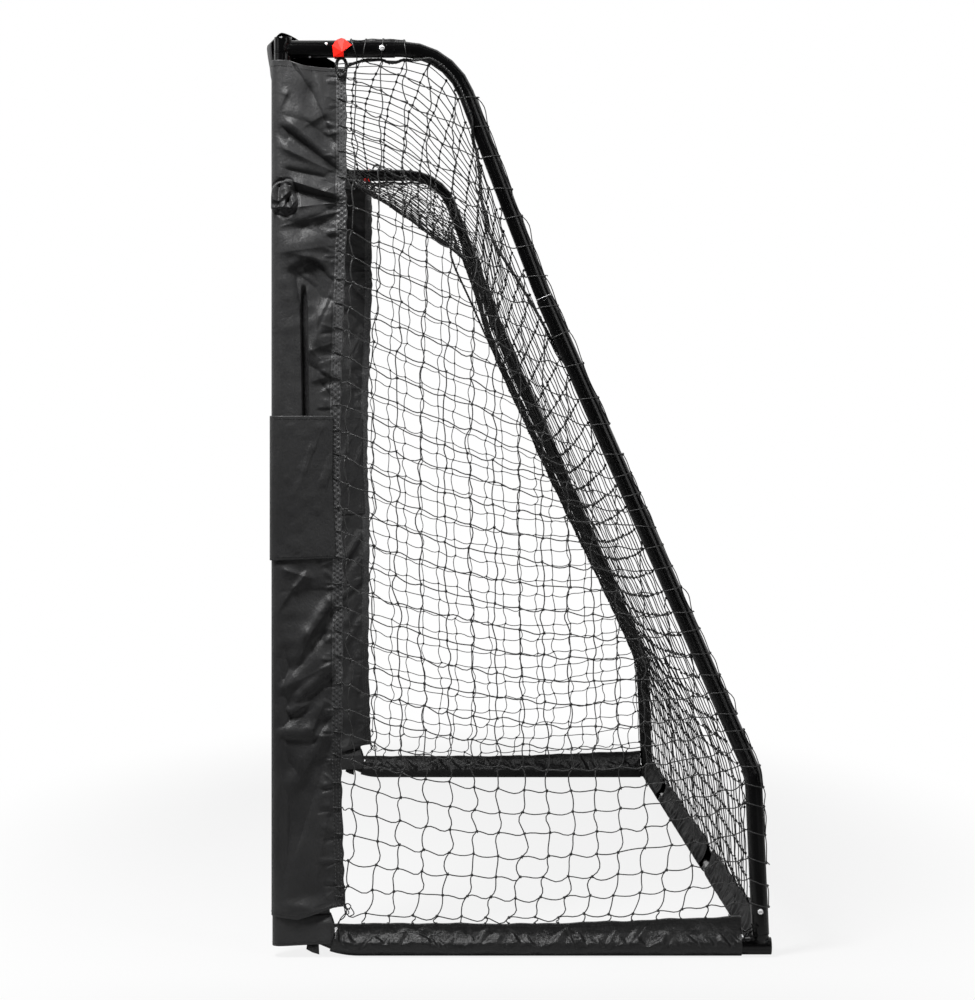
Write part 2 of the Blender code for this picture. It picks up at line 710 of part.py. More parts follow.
def net(name, columns, rows, place, paint):
    """A knotted net as one lattice: a grid that place maps from (0..1, 0..1), with every mesh opened."""
    bm = bmesh.new()
    grid = [[bm.verts.new(place(i / columns, j / rows)) for i in range(columns + 1)] for j in range(rows + 1)]
    for low, high in zip(grid, grid[1:]):
        for i in range(columns):
            bm.faces.new((low[i], low[i + 1], high[i + 1], high[i]))
    bm.normal_update()
    meshes = list(bm.faces)
    bmesh.ops.inset_individual(bm, faces=meshes, thickness=TWINE / 2, use_even_offset=True)
    bmesh.ops.delete(bm, geom=meshes, context="FACES_ONLY")
    return solidify(mesh_object(name, bm, PARTS, paint), TWINE * 0.8, offset=0)


def net_edge():
    """The side-plane line that the rope gives the nets: under the rail, down the slope and the leg."""
    reach = WIDE_TUBE_R + 2 * FIT_GAP + 2 * ROPE_R + NET_ROPE_ROOM
    return rope_path(reach)


def side_net(side_name, side, paint):
    """The side panel: hem in front, rope above and behind, base sleeve below."""
    x = side * HALF_SPACING
    edge = net_edge()
    floor_z = BASE_Z + SLEEVE_FIN + FIT_GAP
    front_y = HEM_Y + FIT_GAP
    knee_share = 0.08

    def place(u, v):
        top_z = edge[0][1] - FIT_GAP
        rear = on_path(edge, knee_share + (1 - knee_share) * v)
        z_front = top_z + (floor_z - top_z) * v
        rear_z = max(rear[1] + (floor_z - ROPE_END_Z) * v, floor_z)
        return (x, front_y + (rear[0] - front_y) * u, z_front + (rear_z - z_front) * u)

    return net(f"side_net_{side_name}", SIDE_NET_COLUMN_COUNT, SIDE_NET_ROW_COUNT, place, paint)


def middle_profile():
    """Side-plane points of the back net at mid-width, from the crossbar cover's hem to the rear sleeve's fin."""
    points = [crossbar_hem(0)] + [(POST_Y + back, RAIL_Z - drop) for back, drop in ROOF_LOW_POINTS]
    for z, sag in BACK_NET_SAGS:
        y, lean = slope_point(z)
        points.append((y - (WIDE_TUBE_R + sag) * math.cos(lean), z - sag * math.sin(lean)))
    points.append((FOOT_Y, BASE_Z + SLEEVE_FIN + 2 * FIT_GAP))
    return points


def back_nets(paint):
    """Roof and back panels between the two side frames, hung from the crossbar cover to the rear sleeves."""
    rope_reach = HALF_SPACING - ROPE_R - FIT_GAP
    leg_reach = HALF_SPACING - WIDE_TUBE_R - FIT_GAP
    hem_reach = HALF_SPACING - cover_half_width(crossbar_hem(1)[0] - POST_Y) - 2 * FIT_GAP
    middle = middle_profile()
    edge = [crossbar_hem(1)] + rope_path(WIDE_TUBE_R + FIT_GAP + ROPE_R)[1:-1] + [middle[-1]]
    length = sum((Vector(b) - Vector(a)).length for a, b in zip(edge, edge[1:]))
    panels = (
        ("roof_net", ROOF_NET_ROW_COUNT, 0.0, ROOF_NET_SHARE - NET_JOIN_GAP / length),
        ("back_net", BACK_NET_ROW_COUNT, ROOF_NET_SHARE, 1.0),
    )
    for name, rows, start, end in panels:

        def place(u, v, start=start, end=end):
            t = start + (end - start) * v
            across = 2 * u - 1
            point = on_path(edge, t).lerp(on_path(middle, t), 1 - abs(across) ** NET_SAG_SHAPE)
            near_leg = min(1.0, max(0.0, (t - LEG_NET_SHARE) / (1 - LEG_NET_SHARE) * 4))
            near_hem = max(0.0, 1 - t / (ROOF_NET_SHARE / ROOF_NET_ROW_COUNT))
            reach = rope_reach + (leg_reach - rope_reach) * near_leg + (hem_reach - rope_reach) * near_hem
            return (across * reach, point[0], point[1])

        net(name, BACK_NET_COLUMN_COUNT, rows, place, paint)


def rail_clip(side_name, side, paint):
    """The red clip round the rail stub."""
    x = side * HALF_SPACING
    y = POST_Y + CLIP_BACK
    inner = WIDE_TUBE_R + FIT_GAP
    bm = curve_mesh(
        f"rail_clip_{side_name}",
        [Vector((x, y - CLIP_WIDTH / 2, RAIL_Z)), Vector((x, y + CLIP_WIDTH / 2, RAIL_Z))],
        inner / math.cos(math.pi / TUBE_SIDES) + CLIP_WALL,
        TUBE_SIDES,
    )
    return solidify(mesh_object(f"rail_clip_{side_name}", bm, PARTS, paint), CLIP_WALL)


def cord_loop(side_name, side, paint):
    """The cord loop that hangs from the clip and holds the net's corner."""
    drop = math.sqrt((WIDE_TUBE_R + CLIP_WALL + FIT_GAP) ** 2 - LOOP_OUT**2)
    y = POST_Y + CLIP_BACK + 0.003
    z = RAIL_Z - drop - 2 * FIT_GAP - LOOP_R - LOOP_HALF_HEIGHT
    x = side * (HALF_SPACING + LOOP_OUT)
    points = []
    for i in range(12):
        angle = 2 * math.pi * i / 12
        points.append(Vector((x, y + LOOP_HALF_WIDTH * math.cos(angle), z + LOOP_HALF_HEIGHT * math.sin(angle))))
    return rope(f"cord_loop_{side_name}", points, LOOP_R, PARTS, paint, closed=True)


def build_side(side_name, side, paints):
    """Everything that stands on one side: tubes, joints, plug, fabric, rope, net and trim."""
    steel, zinc = paints["steel"], paints["zinc"]
    x = side * HALF_SPACING
    out = Vector((side, 0, 0))
    corner = top_corner(side_name, side, steel)
    foot = rear_corner(side_name, side, steel)
    upper_post, lower_post = post_tubes(side_name, side, steel)
    top_tube, low_tube = side_tubes(side_name, side, steel)
    end_plug(side_name, side, paints["plastic"])
    half_lap = JOINT_LAP / 2
    down = Vector((0, 0, -1))
    back = Vector((0, 1, 0))
    post_joint = Vector((x, POST_Y, RAIL_Z - POST_STUB + half_lap))
    buttoned_joint(f"post_top_button_{side_name}", post_joint, back, down, (corner, upper_post), zinc)
    post_joint = Vector((x, POST_Y, UPPER_POST_END_Z - half_lap))
    buttoned_joint(f"post_button_{side_name}", post_joint, back, -down, (lower_post, upper_post), zinc)
    rail_joint = Vector((x, POST_Y + RAIL_STUB - RAIL_BUTTON_IN, RAIL_Z))
    buttoned_joint(f"rail_button_{side_name}", rail_joint, out, -back, (corner, top_tube), zinc)
    joint_start = 2 * KINK_BEND_R * math.tan((LOWER_SLOPE - UPPER_SLOPE) / 2)
    y, z = along_lower_slope(joint_start + half_lap)
    run = Vector((0, math.sin(LOWER_SLOPE), -math.cos(LOWER_SLOPE)))
    buttoned_joint(f"slope_button_{side_name}", Vector((x, y, z)), -out, -run, (low_tube, top_tube), zinc)
    up = Vector((0, -math.sin(LEG_LEAN), math.cos(LEG_LEAN)))
    leg_joint = Vector((x, FOOT_Y, BASE_Z)) + up * (LEG_START_Z - BASE_Z + LEG_BUTTON_UP)
    buttoned_joint(f"leg_button_{side_name}", leg_joint, out, -up, (foot, low_tube), zinc)
    base_joint = Vector((x, FOOT_Y - BASE_JOINT_BACK - half_lap, BASE_Z))
    buttoned_joint(f"base_button_{side_name}", base_joint, -down, -back, (foot, lower_post), zinc)
    post_cover(side_name, side, paints["cover"])
    cover_band(side_name, side, paints["cover"])
    base_sleeve(side_name, side, paints["sleeve"])
    rope_points = in_side_plane(x, rope_path(WIDE_TUBE_R + FIT_GAP + ROPE_R))
    rope(f"net_rope_{side_name}", rope_points, ROPE_R, PARTS, paints["twine"])
    side_net(side_name, side, paints["twine"])
    rail_clip(side_name, side, paints["red"])
    cord_loop(side_name, side, paints["twine"])
    return corner, foot


def build_bars(corners, feet, paints):
    """The crossbar and the rear bar with their joints."""
    steel, zinc = paints["steel"], paints["zinc"]
    top_middle, top_outer = crossbar_tubes(steel)
    rear_middle, rear_outer = rear_bar_tubes(steel)
    joint = HALF_SPACING * (1 - 2 * BAR_JOINT_SHARE)
    half_lap = JOINT_LAP / 2
    up = Vector((0, 0, 1))
    back = Vector((0, 1, 0))
    for side_name, side in SIDES:
        out = Vector((side, 0, 0))
        at = Vector((side * (joint - half_lap), POST_Y, RAIL_Z))
        tubes = top_middle, top_outer[side_name]
        buttoned_joint(f"crossbar_button_{side_name}", at, back, out, tubes, zinc)
        at = Vector((side * (HALF_SPACING - CROSSBAR_STUB + half_lap), POST_Y, RAIL_Z))
        tubes = corners[side_name], top_outer[side_name]
        buttoned_joint(f"crossbar_end_button_{side_name}", at, back, -out, tubes, zinc)
        at = Vector((side * (joint + half_lap), FOOT_Y, BASE_Z))
        tubes = rear_middle, rear_outer[side_name]
        buttoned_joint(f"rear_bar_button_{side_name}", at, up, -out, tubes, zinc)
        at = Vector((side * (HALF_SPACING - WIDE_TUBE_R - half_lap), FOOT_Y, BASE_Z))
        tubes = feet[side_name], rear_outer[side_name]
        buttoned_joint(f"rear_bar_end_button_{side_name}", at, up, out, tubes, zinc)


clear_scene()
PARTS = new_collection("portable_soccer_goal")
CUTTERS = new_collection("cutters")
PAINTS = {
    "steel": black_steel(),
    "zinc": zinc_steel(),
    "cover": cover_fabric(),
    "sleeve": sleeve_fabric(),
    "twine": net_twine(),
    "red": red_plastic(),
    "plastic": black_plastic(),
}
CORNERS, FEET = {}, {}
for SIDE_NAME, SIDE in SIDES:
    CORNERS[SIDE_NAME], FEET[SIDE_NAME] = build_side(SIDE_NAME, SIDE, PAINTS)
build_bars(CORNERS, FEET, PAINTS)
crossbar_cover(PAINTS["cover"])
rear_sleeves(PAINTS["sleeve"])
back_nets(PAINTS["twine"])
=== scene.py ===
"""Looks of the portable soccer goal: fabric covers, knotted nets, ropes, trim, floor, light and camera.

Metres, in the frame of the CAD model: +X along the crossbar, +Y from the mouth to the back, +Z up.
The near side of the photograph is +X. Values named PHOTO_ are in pixels of the photograph.
"""

import json
import math

import bpy
import numpy as np
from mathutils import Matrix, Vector

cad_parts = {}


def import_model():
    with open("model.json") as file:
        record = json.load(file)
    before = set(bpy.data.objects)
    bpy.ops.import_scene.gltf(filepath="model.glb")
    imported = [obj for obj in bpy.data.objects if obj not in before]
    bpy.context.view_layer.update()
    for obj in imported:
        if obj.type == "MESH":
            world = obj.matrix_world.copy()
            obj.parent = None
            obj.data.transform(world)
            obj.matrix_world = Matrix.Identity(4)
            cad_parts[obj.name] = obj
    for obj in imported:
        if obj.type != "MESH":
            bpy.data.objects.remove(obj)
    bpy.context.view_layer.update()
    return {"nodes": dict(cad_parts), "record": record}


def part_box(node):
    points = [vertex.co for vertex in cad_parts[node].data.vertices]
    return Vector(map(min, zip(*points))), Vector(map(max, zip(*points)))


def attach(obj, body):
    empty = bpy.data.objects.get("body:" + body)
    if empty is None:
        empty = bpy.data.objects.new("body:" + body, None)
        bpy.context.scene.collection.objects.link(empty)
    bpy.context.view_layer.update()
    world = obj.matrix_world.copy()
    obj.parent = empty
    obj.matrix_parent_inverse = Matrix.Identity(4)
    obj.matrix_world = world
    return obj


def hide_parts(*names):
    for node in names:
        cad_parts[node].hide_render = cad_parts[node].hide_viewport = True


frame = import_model()
RNG = np.random.default_rng(11)
SIDES = (("right", 1), ("left", -1))


def middle_of(node):
    low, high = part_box(node)
    return (low + high) / 2


# Places and sizes of the frame
POST = middle_of("upper_post_right")
HALF = POST.x
POST_Y = POST.y
RAIL_Z = middle_of("crossbar_middle").z
BASE_Z = middle_of("rear_bar_middle").z
FOOT_Y = middle_of("rear_bar_middle").y
WIDE_R = 0.019
NARROW_R = 0.0175
BACK_LEAN = math.radians(23.7)
UPPER_LEAN = math.radians(20.75)
LEG_LEAN = math.radians(13)
BEND_Y = POST_Y + 0.3607
KINK_Z = 1.442
KINK_Y = BEND_Y + (RAIL_Z - KINK_Z) * math.tan(UPPER_LEAN)
KNEE_Z = 0.394
KNEE_Y = KINK_Y + (KINK_Z - KNEE_Z) * math.tan(BACK_LEAN)
RAIL_BEND_R = 0.15
KINK_BEND_R = 0.4
KNEE_BEND_R = 0.1
POST_BEND_R = 0.165

# Cloth
COVER_TOP = RAIL_Z - 0.032
COVER_R = 0.0245
BAND_TOP = 1.1694
BAND_FOOT = 0.8575
FLAP_R = 0.0222
FIN_TOP = 0.0783
CREASE = 0.95
POCKET_DEPTH = 0.034
HEM_WIDTH = 0.0205
HEM_SAG = 0.11
HEM_HALF = 0.005
COVER_DEPTH = 0.1338
LUMP_WIDE, LUMP_HIGH = 0.0285, 0.0345
HEM_PITCH = 0.0074
STITCH_PITCH = 0.0055
STITCH_LENGTH = 0.0036
SHEET = 0.0009
HEM_EDGE = (
    (0.09, -0.3745), (0.14, -0.377), (0.42, -0.384), (0.58, -0.3816), (0.86, -0.38),
    (1.03, -0.3876), (1.25, -0.3844), (1.56, -0.3732), (1.62, -0.3710), (1.66, -0.3745),
    (1.72, -0.3725), (1.95, -0.3725),
)
COVER_TOP_EDGE = (
    (POST_Y - 0.025, 0.007), (-0.494, 0.005), (-0.465, -0.005), (-0.433, -0.009), (-0.37, -0.011),
)
COVER_FOOT_EDGE = ((POST_Y - 0.03, 0.0), (-0.477, -0.007), (-0.40, 0.016), (-0.37, 0.019))
SLEEVE_EDGE = ((-0.41, 0.0700), (-0.2, 0.0705), (0.04, 0.0700), (0.22, 0.0755), (0.5, 0.0865))

# Nets and ropes
MESH = 0.0545
TWINE_R = 0.0013
NET_FOOT = 0.0965
NET_FRONT = -0.3703
COLUMN_PITCH = 0.0529
SIDE_COLUMNS, SIDE_ROWS = 19, 45
BACK_COLUMNS, BACK_ROWS = 54, 44
HEM_FOOT = 0.104
ROPE_OFF = WIDE_R + 0.0042
ROW_FALL = ((0.09, 0.07), (0.21, 0.18), (0.32, 0.26), (0.55, 0.34), (0.82, 0.40), (1.42, 0.40), (1.94, 0.42))
ROW_LIFT = ((0.09, 0.106), (0.32, 0.332), (0.82, 0.351), (1.08, 0.268), (1.25, 0.046), (1.5, 0.0))
DRIFT = (
    (0.07, -0.020), (0.11, -0.012), (0.15, 0.002), (0.26, 0.013),
    (0.8, 0.002), (1.2, 0.0), (1.55, 0.015), (1.94, 0.022),
)
SIDE_SLACK = ((0.1, 0.0085), (0.4, 0.0065), (0.9, 0.006))
SAG_SHAPES = ((0, 1.0), (3, 1.3), (6, 1.65), (10, 1.35), (21, 2.6))
ROW_LEAN = ((0, 0.0), (2, 1.0), (5, 0.6), (9, 0.0))
ROPE_DROP = {
    1: (
        (1.33, ROPE_OFF), (1.42, 0.033), (1.481, 0.046), (1.53, 0.06),
        (1.572, 0.065), (1.63, 0.056), (1.689, 0.039), (1.745, ROPE_OFF),
    ),
    -1: (
        (1.03, ROPE_OFF), (1.15, 0.031), (1.36, 0.045), (1.558, 0.057),
        (1.66, 0.066), (1.705, 0.064), (1.75, 0.045), (1.8, ROPE_OFF),
    ),
}


# Places noted in the photograph, whose scale is pixels to a metre at the near side frame
# After u and v, a third value is a size or a way out in metres, and in the corner's cord a share of the way
PHOTO_SCALE = 461.8
PHOTO_ORIGIN = (518, 956)
PHOTO_HEM_CORNER = (345.0, 904.5)
PHOTO_POCKET = ((304.0, 287), (306.0, 418))
PHOTO_LUMP = (283.5, 199)
PHOTO_CLIP = (
    (332.6, 47.2, 0.0085), (337.0, 40.6, 0.0005), (341.5, 39.0, 0.0), (344.6, 39.8, 0.0),
    (352.0, 46.3, 0.004), (343.9, 52.2, 0.0115), (344.0, 58.1, 0.0075), (333.6, 58.1, 0.0055),
    (342.1, 53.0, 0.012),
)
PHOTO_RIVETS = ((326.5, 44.7, 0.0034), (309.7, 57.2, 0.0026), (286.9, 42.2, 0.0042))
PHOTO_EYELETS = ((336.0, 928.0, 0.0075), (336.6, 933.2, 0.013), (335.4, 938.6, 0.0205))
PHOTO_TAB = (
    ((307.5, 941.5), (306.5, 947.8)),
    ((313.0, 941.5), (312.5, 951.0)),
    ((319.0, 942.0), (319.5, 953.0)),
)
PHOTO_HEM_ENDS = (
    ((342, 904), (347, 909), (351, 906), (347, 903), (344, 908)),
    ((344, 905), (349, 912), (346, 914), (345, 908), (350, 909)),
    ((347, 911), (344, 917), (339, 921), (337, 927)),
    ((346, 912), (340, 919), (338, 928)),
    ((351, 907), (354, 913), (349, 916)),
)
PHOTO_CORNER_CORD = (
    ((740, 927, 0.4), (744, 930, 0.8), (748, 927, 1.0), (753, 924, 1.0), (757, 925, 0.9)),
    ((741, 932, 0.4), (745, 935, 0.9), (749, 931, 1.05), (752, 926, 1.05), (750, 922, 0.9)),
    ((746, 931, 1.0), (743, 936, 0.95), (746, 939, 1.0), (750, 937, 1.05), (748, 932, 1.05)),
    ((748, 931, 1.05), (751, 934, 1.1), (752, 939, 1.05)),
)
PHOTO_CORNER_KNOT = (748, 931)

# Each fold: from u, v to u, v, its width in pixels, its height in millimetres, and how far it leans over
PHOTO_COVER_FOLDS = (
    (291, 62, 313, 94, 7.0, -7.5, 0.6),
    (313, 94, 330, 134, 6.5, -9.5, 0.9),
    (309, 62, 315, 86, 4.0, -4.5, 0.6),
    (302, 74, 324, 112, 6, 4.0),
    (274, 91, 287, 96, 3.0, 1.6, -0.9),
    (287, 96, 281, 108, 2.8, 2.4, 1.3),
    (284, 116, 309, 124, 5, -2.6, 0.6),
    (309, 124, 333, 141, 5.5, -4.0, 0.9),
    (309, 125, 320, 118, 4.0, 4.5, -0.6),
    (286, 131, 338, 170, 5.0, -8.0, 1.6),
    (296, 128, 338, 160, 7, 5.5, -0.4),
    (287, 151, 334, 172, 5.5, 6.0, -1.2),
    (292, 171, 338, 180, 5.0, -9.0, 0.6),
    (274, 176, 334, 195, 6.0, 7.0, -0.9),
    (283, 188, 334, 200, 5.5, -13.0, 0.6),
    (298, 208, 334, 203, 5.0, 6.0, -0.6),
    (300, 223, 336, 208, 6.0, -4.0, 0.4),
    (286, 226, 334, 213, 5.0, 4.5, -0.6),
    (326, 198, 345, 201, 2.6, -4.0, 0.4),
    (328, 204, 345, 205, 2.4, 3.4, -0.4),
    (326, 192, 344, 196, 2.4, 3.0, 0.5),
    (300, 227, 336, 215, 5.0, -5.0, 0.9),
    (318, 226, 336, 246, 5.0, -5.0, -1.0),
    (290, 222, 322, 234, 9, -4.0, 0.5),
    (292, 252, 330, 246, 8, 4.5, -0.8),
    (295, 270, 308, 263, 4.5, -6.0, 1.3),
    (308, 263, 318, 268, 4.5, -6.0, 1.3),
    (318, 268, 333, 285, 4.5, -6.0, 1.0),
    (302, 256, 322, 260, 7, 5.0),
    (304, 279, 318, 290, 10, -10.0),
    (297, 282, 302, 312, 4.0, -6.0),
    (318, 318, 317, 336, 7, 6.5, -0.5),
    (313, 345, 314, 412, 5, 3.0),
    (293, 300, 295, 412, 6, 2.2),
    (333.6, 286, 322, 313, 5.0, 4.2, -0.9),
    (331, 300, 320, 325, 4.0, -3.6, 0.4),
    (313, 350, 334, 343, 5, 4.5, -0.9),
    (311, 366, 328, 376, 5, -4.5, 0.7),
    (314, 352, 334, 372, 4, 4.5, 0.8),
    (318, 380, 337, 374, 4, 4.5, -0.8),
    (322, 384, 334, 400, 4, -4.0, 0.8),
    (326, 372, 336, 412, 3.4, 3.6, 0.8),
    (288, 570, 304, 575, 5, 5.0, 0.6),
    (304, 575, 296, 586, 3.5, 5.5, -1.0),
    (294, 587, 279, 610, 3.0, 3.6, 0.8),
    (300, 590, 322, 590, 9, -4.0, 0.5),
    (333.5, 601, 311, 634, 4.2, 6.5, 1.5),
    (311, 634, 300, 658, 4.6, 5.0, 1.3),
    (334, 617, 324, 637, 4.0, -6.0, 0.9),
    (320, 640, 300, 664, 8, -4.0, 0.6),
    (332, 671, 302, 696, 4.0, 6.5, 1.6),
    (326, 666, 298, 680, 8, 4.8, 0.8),
    (284, 684, 292, 675, 4.4, 5.0, 1.4),
    (276, 692, 284, 700, 5.5, -6.0, 0.8),
    (303, 706, 288, 715, 4.0, 6.5, 1.4),
    (288, 718, 279, 726, 5, -7.0, 0.8),
    (322, 708, 314, 727, 4.0, 5.0, 1.2),
    (325, 725, 316, 739, 4.0, -5.5, 0.8),
    (288, 734, 317, 735, 5.0, 6.0, -1.2),
    (280, 747, 292, 764, 6.5, -5.0, 0.8),
    (322, 744, 298, 782, 6, 4.6, 1.2),
    (285, 660, 282, 860, 9.0, -5.0, 0.0),
    (275, 655, 286, 664, 4.0, -6.0, 0.6),
    (274, 702, 285, 712, 4.5, -6.0, 0.8),
    (324, 764, 300, 838, 8, -6.0, 1.0),
    (331, 796, 316, 880, 6.5, 3.4, 0.6),
    (292, 800, 284, 880, 8, -4.0, 0.6),
    (283, 910, 302, 909, 5, -4.4, 0.6),
)
PHOTO_LUMP_FOLDS = (
    (275, 184, 274, 211, 2.6, 7.5, -0.8),
    (279.5, 186, 279, 213, 1.9, -9.5),
    (289, 190, 296, 200, 3.0, 6.5, 1.0),
    (283, 199, 290, 193, 2.6, 6.0, -0.6),
    (287, 204, 289, 198, 1.8, -9.0, 0.5),
    (283, 208, 292, 209, 2.6, 6.5, -0.8),
    (281, 187, 288, 186, 2.2, -5.0),
    (297, 203, 290, 213, 2.2, -6.0, 0.5),
    (293, 206, 299, 198, 2.0, 4.0, 0.6),
)
PHOTO_BAND_FOLDS = (
    (302, 478, 310, 448, 4, 1.6, 0.8),
    (322, 430, 306, 470, 4.5, 2.2, 0.8),
    (330, 440, 318, 480, 4, -2.0, 0.7),
    (330, 470, 320, 520, 3.6, 2.2, 0.9),
    (325, 490, 322, 535, 3.0, -2.0, 0.4),
    (290, 430, 288, 540, 9, 1.2),
    (306, 520, 300, 545, 6, 1.0, 0.6),
)
# Each bulge: u, v, half its width and half its height in pixels, and its height in metres
PHOTO_BULGES = (
    (312, 118, 24, 38, 0.0075),
    (318, 232, 22, 26, 0.0060),
    (322, 322, 14, 26, 0.0050),
    (312, 640, 20, 46, 0.0050),
    (314, 840, 18, 60, 0.0035),
    (309, 911, 26, 12, 0.0160),
)


def seen(u, v):
    """The side-plane place (y, z) of a point noted on the near side."""
    return (u - PHOTO_ORIGIN[0]) / PHOTO_SCALE, (PHOTO_ORIGIN[1] - v) / PHOTO_SCALE


def fold(u1, v1, u2, v2, width, height, skew=0.0):
    return (*seen(u1, v1), *seen(u2, v2), width / PHOTO_SCALE, height / 1000, skew)


# Mesh helpers

def new_mesh(name, points, faces, paint, smooth=True):
    mesh = bpy.data.meshes.new(name)
    mesh.from_pydata([tuple(p) for p in points], [], faces)
    mesh.validate()
    if smooth:
        mesh.shade_smooth()
    item = bpy.data.objects.new(name, mesh)
    bpy.context.scene.collection.objects.link(item)
    item.data.materials.append(paint)
    return item


def keep(item, slot, *nodes, body="goal"):
    """The piece rides on its body and stands for the CAD nodes, which it hides. The slot is not used."""
    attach(item, body)
    if nodes:
        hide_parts(*nodes)
    return item


def between_rings(count, size, closed=True, endless=False, start=0):
    """The four-sided faces between neighbouring rings; closed rings, or an endless row of them."""
    here = np.arange(size if closed else size - 1)
    there = (here + 1) % size
    row = np.arange(count if endless else count - 1)[:, None]
    low, high = start + row * size, start + (row + 1) % count * size
    return np.stack([low + here, low + there, high + there, high + here], -1).reshape(-1, 4).tolist()


def skin(name, rings, paint, closed=True, wall=0.0, smooth=True):
    """A lofted surface through rings of the same number of points, an array of (rings, points, 3)."""
    rings = np.asarray(rings)
    faces = between_rings(*rings.shape[:2], closed)
    item = new_mesh(name, rings.reshape(-1, 3), faces, paint, smooth)
    if wall:
        shell = item.modifiers.new("wall", "SOLIDIFY")
        shell.thickness = wall
        shell.offset = 0
    return item


def circle(count, first, second):
    """Points round the origin, from the vector first towards the vector second."""
    turn = np.arange(count)[:, None] * 2 * math.pi / count
    return np.cos(turn) * first + np.sin(turn) * second


def run_length(line):
    """The distance travelled at each point of a line."""
    return np.concatenate([[0], np.cumsum(np.linalg.norm(np.diff(line, axis=0), axis=1))])


def tube_points(line, radius, sides, closed=False):
    """The points of a round twine along one line, as rings."""
    line = np.asarray(line, float)
    if closed:
        along = np.roll(line, -1, 0) - np.roll(line, 1, 0)
    else:
        along = np.gradient(line, axis=0)
    along /= np.linalg.norm(along, axis=1)[:, None] + 1e-12
    axis = np.linalg.svd(along.T @ along)[0][:, -1]
    across = np.cross(along, axis)
    across /= np.linalg.norm(across, axis=1)[:, None] + 1e-12
    other = np.cross(along, across)
    turn = (np.arange(sides) * 2 * math.pi / sides)[None, :, None]
    return line[:, None, :] + radius * (np.cos(turn) * across[:, None, :] + np.sin(turn) * other[:, None, :])


def twines(name, lines, radius, sides, paint, rings=()):
    """One mesh of round twines along open lines and closed rings."""
    points, faces, start = [], [], 0
    for closed, group in ((False, lines), (True, rings)):
        for line in group:
            grid = tube_points(line, radius, sides, closed)
            end = start + len(grid) * sides
            points.append(grid.reshape(-1, 3))
            faces += between_rings(len(grid), sides, True, closed, start)
            if not closed:
                faces.append(tuple(range(start + sides - 1, start - 1, -1)))
                faces.append(tuple(range(end - sides, end)))
            start = end
    return new_mesh(name, np.concatenate(points), faces, paint)


def blobs(name, centres, sizes, paint, around=6):
    """Small rounded lumps, one mesh."""
    shape = [(0, 0, -1)]
    for height in (-0.75, 0.0, 0.75):
        wide = math.sqrt(1 - height * height)
        for j in range(around):
            turn = 2 * math.pi * (j + 0.5 * (height == 0)) / around
            shape.append((wide * math.cos(turn), wide * math.sin(turn), height))
    shape.append((0, 0, 1))
    faces = []
    last = 1 + 2 * around
    for j in range(around):
        k = (j + 1) % around
        faces += [(0, 1 + k, 1 + j), (last + around, last + j, last + k)]
        for low in (1, 1 + around):
            faces.append((low + j, low + k, low + around + k, low + around + j))
    points = np.asarray(centres)[:, None, :] + np.array(shape)[None] * np.asarray(sizes)[:, None, :]
    size = len(shape)
    every = [tuple(v + n * size for v in face) for n in range(len(points)) for face in faces]
    return new_mesh(name, points.reshape(-1, 3), every, paint)


def smooth_line(points, count):
    """A Catmull-Rom curve through the points, evenly spaced."""
    p = np.asarray(points, float)
    p = np.vstack([2 * p[0] - p[1], p, 2 * p[-1] - p[-2]])
    fine = []
    for i in range(1, len(p) - 2):
        a, b, c, d = p[i - 1 : i + 3]
        for t in np.linspace(0, 1, 24, endpoint=i == len(p) - 3):
            straight = 2 * b + (c - a) * t
            fine.append((straight + (2 * a - 5 * b + 4 * c - d) * t * t + (3 * b - a - 3 * c + d) * t**3) / 2)
    return resample(fine, count)


def resample(points, count):
    p = np.asarray(points, float)
    length = run_length(p)
    at = np.linspace(0, length[-1], count)
    return np.stack([np.interp(at, length, p[:, k]) for k in range(p.shape[1])], 1)


def table(x, *pairs):
    """A piecewise linear value from (x, value) pairs."""
    xs, ys = zip(*pairs)
    return np.interp(x, xs, ys)


def rising(value, start, length):
    """From 0 at the start to 1 after the length."""
    return np.clip((value - start) / length, 0, 1)


# The side frame's line, in the side plane

def rounded(corners, radii, step=math.radians(4)):
    """A line through corners, with each inner corner rounded."""
    points = [np.array(corners[0], float)]
    for before, corner, after, radius in zip(corners, corners[1:], corners[2:], radii):
        before, corner, after = (np.array(p, float) for p in (before, corner, after))
        into = (corner - before) / np.linalg.norm(corner - before)
        out = (after - corner) / np.linalg.norm(after - corner)
        turn = math.acos(np.clip(into @ out, -1, 1))
        side = out - into * (into @ out)
        side /= np.linalg.norm(side)
        start = corner - into * radius * math.tan(turn / 2)
        centre = start + side * radius
        steps = max(2, math.ceil(turn / step))
        for i in range(steps + 1):
            angle = turn * i / steps
            points.append(centre - side * radius * math.cos(angle) + into * radius * math.sin(angle))
    points.append(np.array(corners[-1], float))
    return np.array(points)


FRAME_CORNERS = [(POST_Y, RAIL_Z), (BEND_Y, RAIL_Z), (KINK_Y, KINK_Z), (KNEE_Y, KNEE_Z), (FOOT_Y, BASE_Z)]
FRAME_FINE = resample(rounded(FRAME_CORNERS, [RAIL_BEND_R, KINK_BEND_R, KNEE_BEND_R]), 1500)
FRAME_STEP = np.gradient(FRAME_FINE, axis=0)
FRAME_STEP /= np.linalg.norm(FRAME_STEP, axis=1)[:, None]
FRAME_LENGTH = run_length(FRAME_FINE)[-1]


def frame_inside(offset):
    """The side-plane line this far inside the frame's axis: under the rail, before the slope and the leg."""
    inward = np.stack([FRAME_STEP[:, 1], -FRAME_STEP[:, 0]], 1)
    return FRAME_FINE + inward * offset


INNER = frame_inside(WIDE_R + 0.0005)
INNER_BACK = INNER[np.argmax(INNER[:, 0] > BEND_Y - 0.2) :]


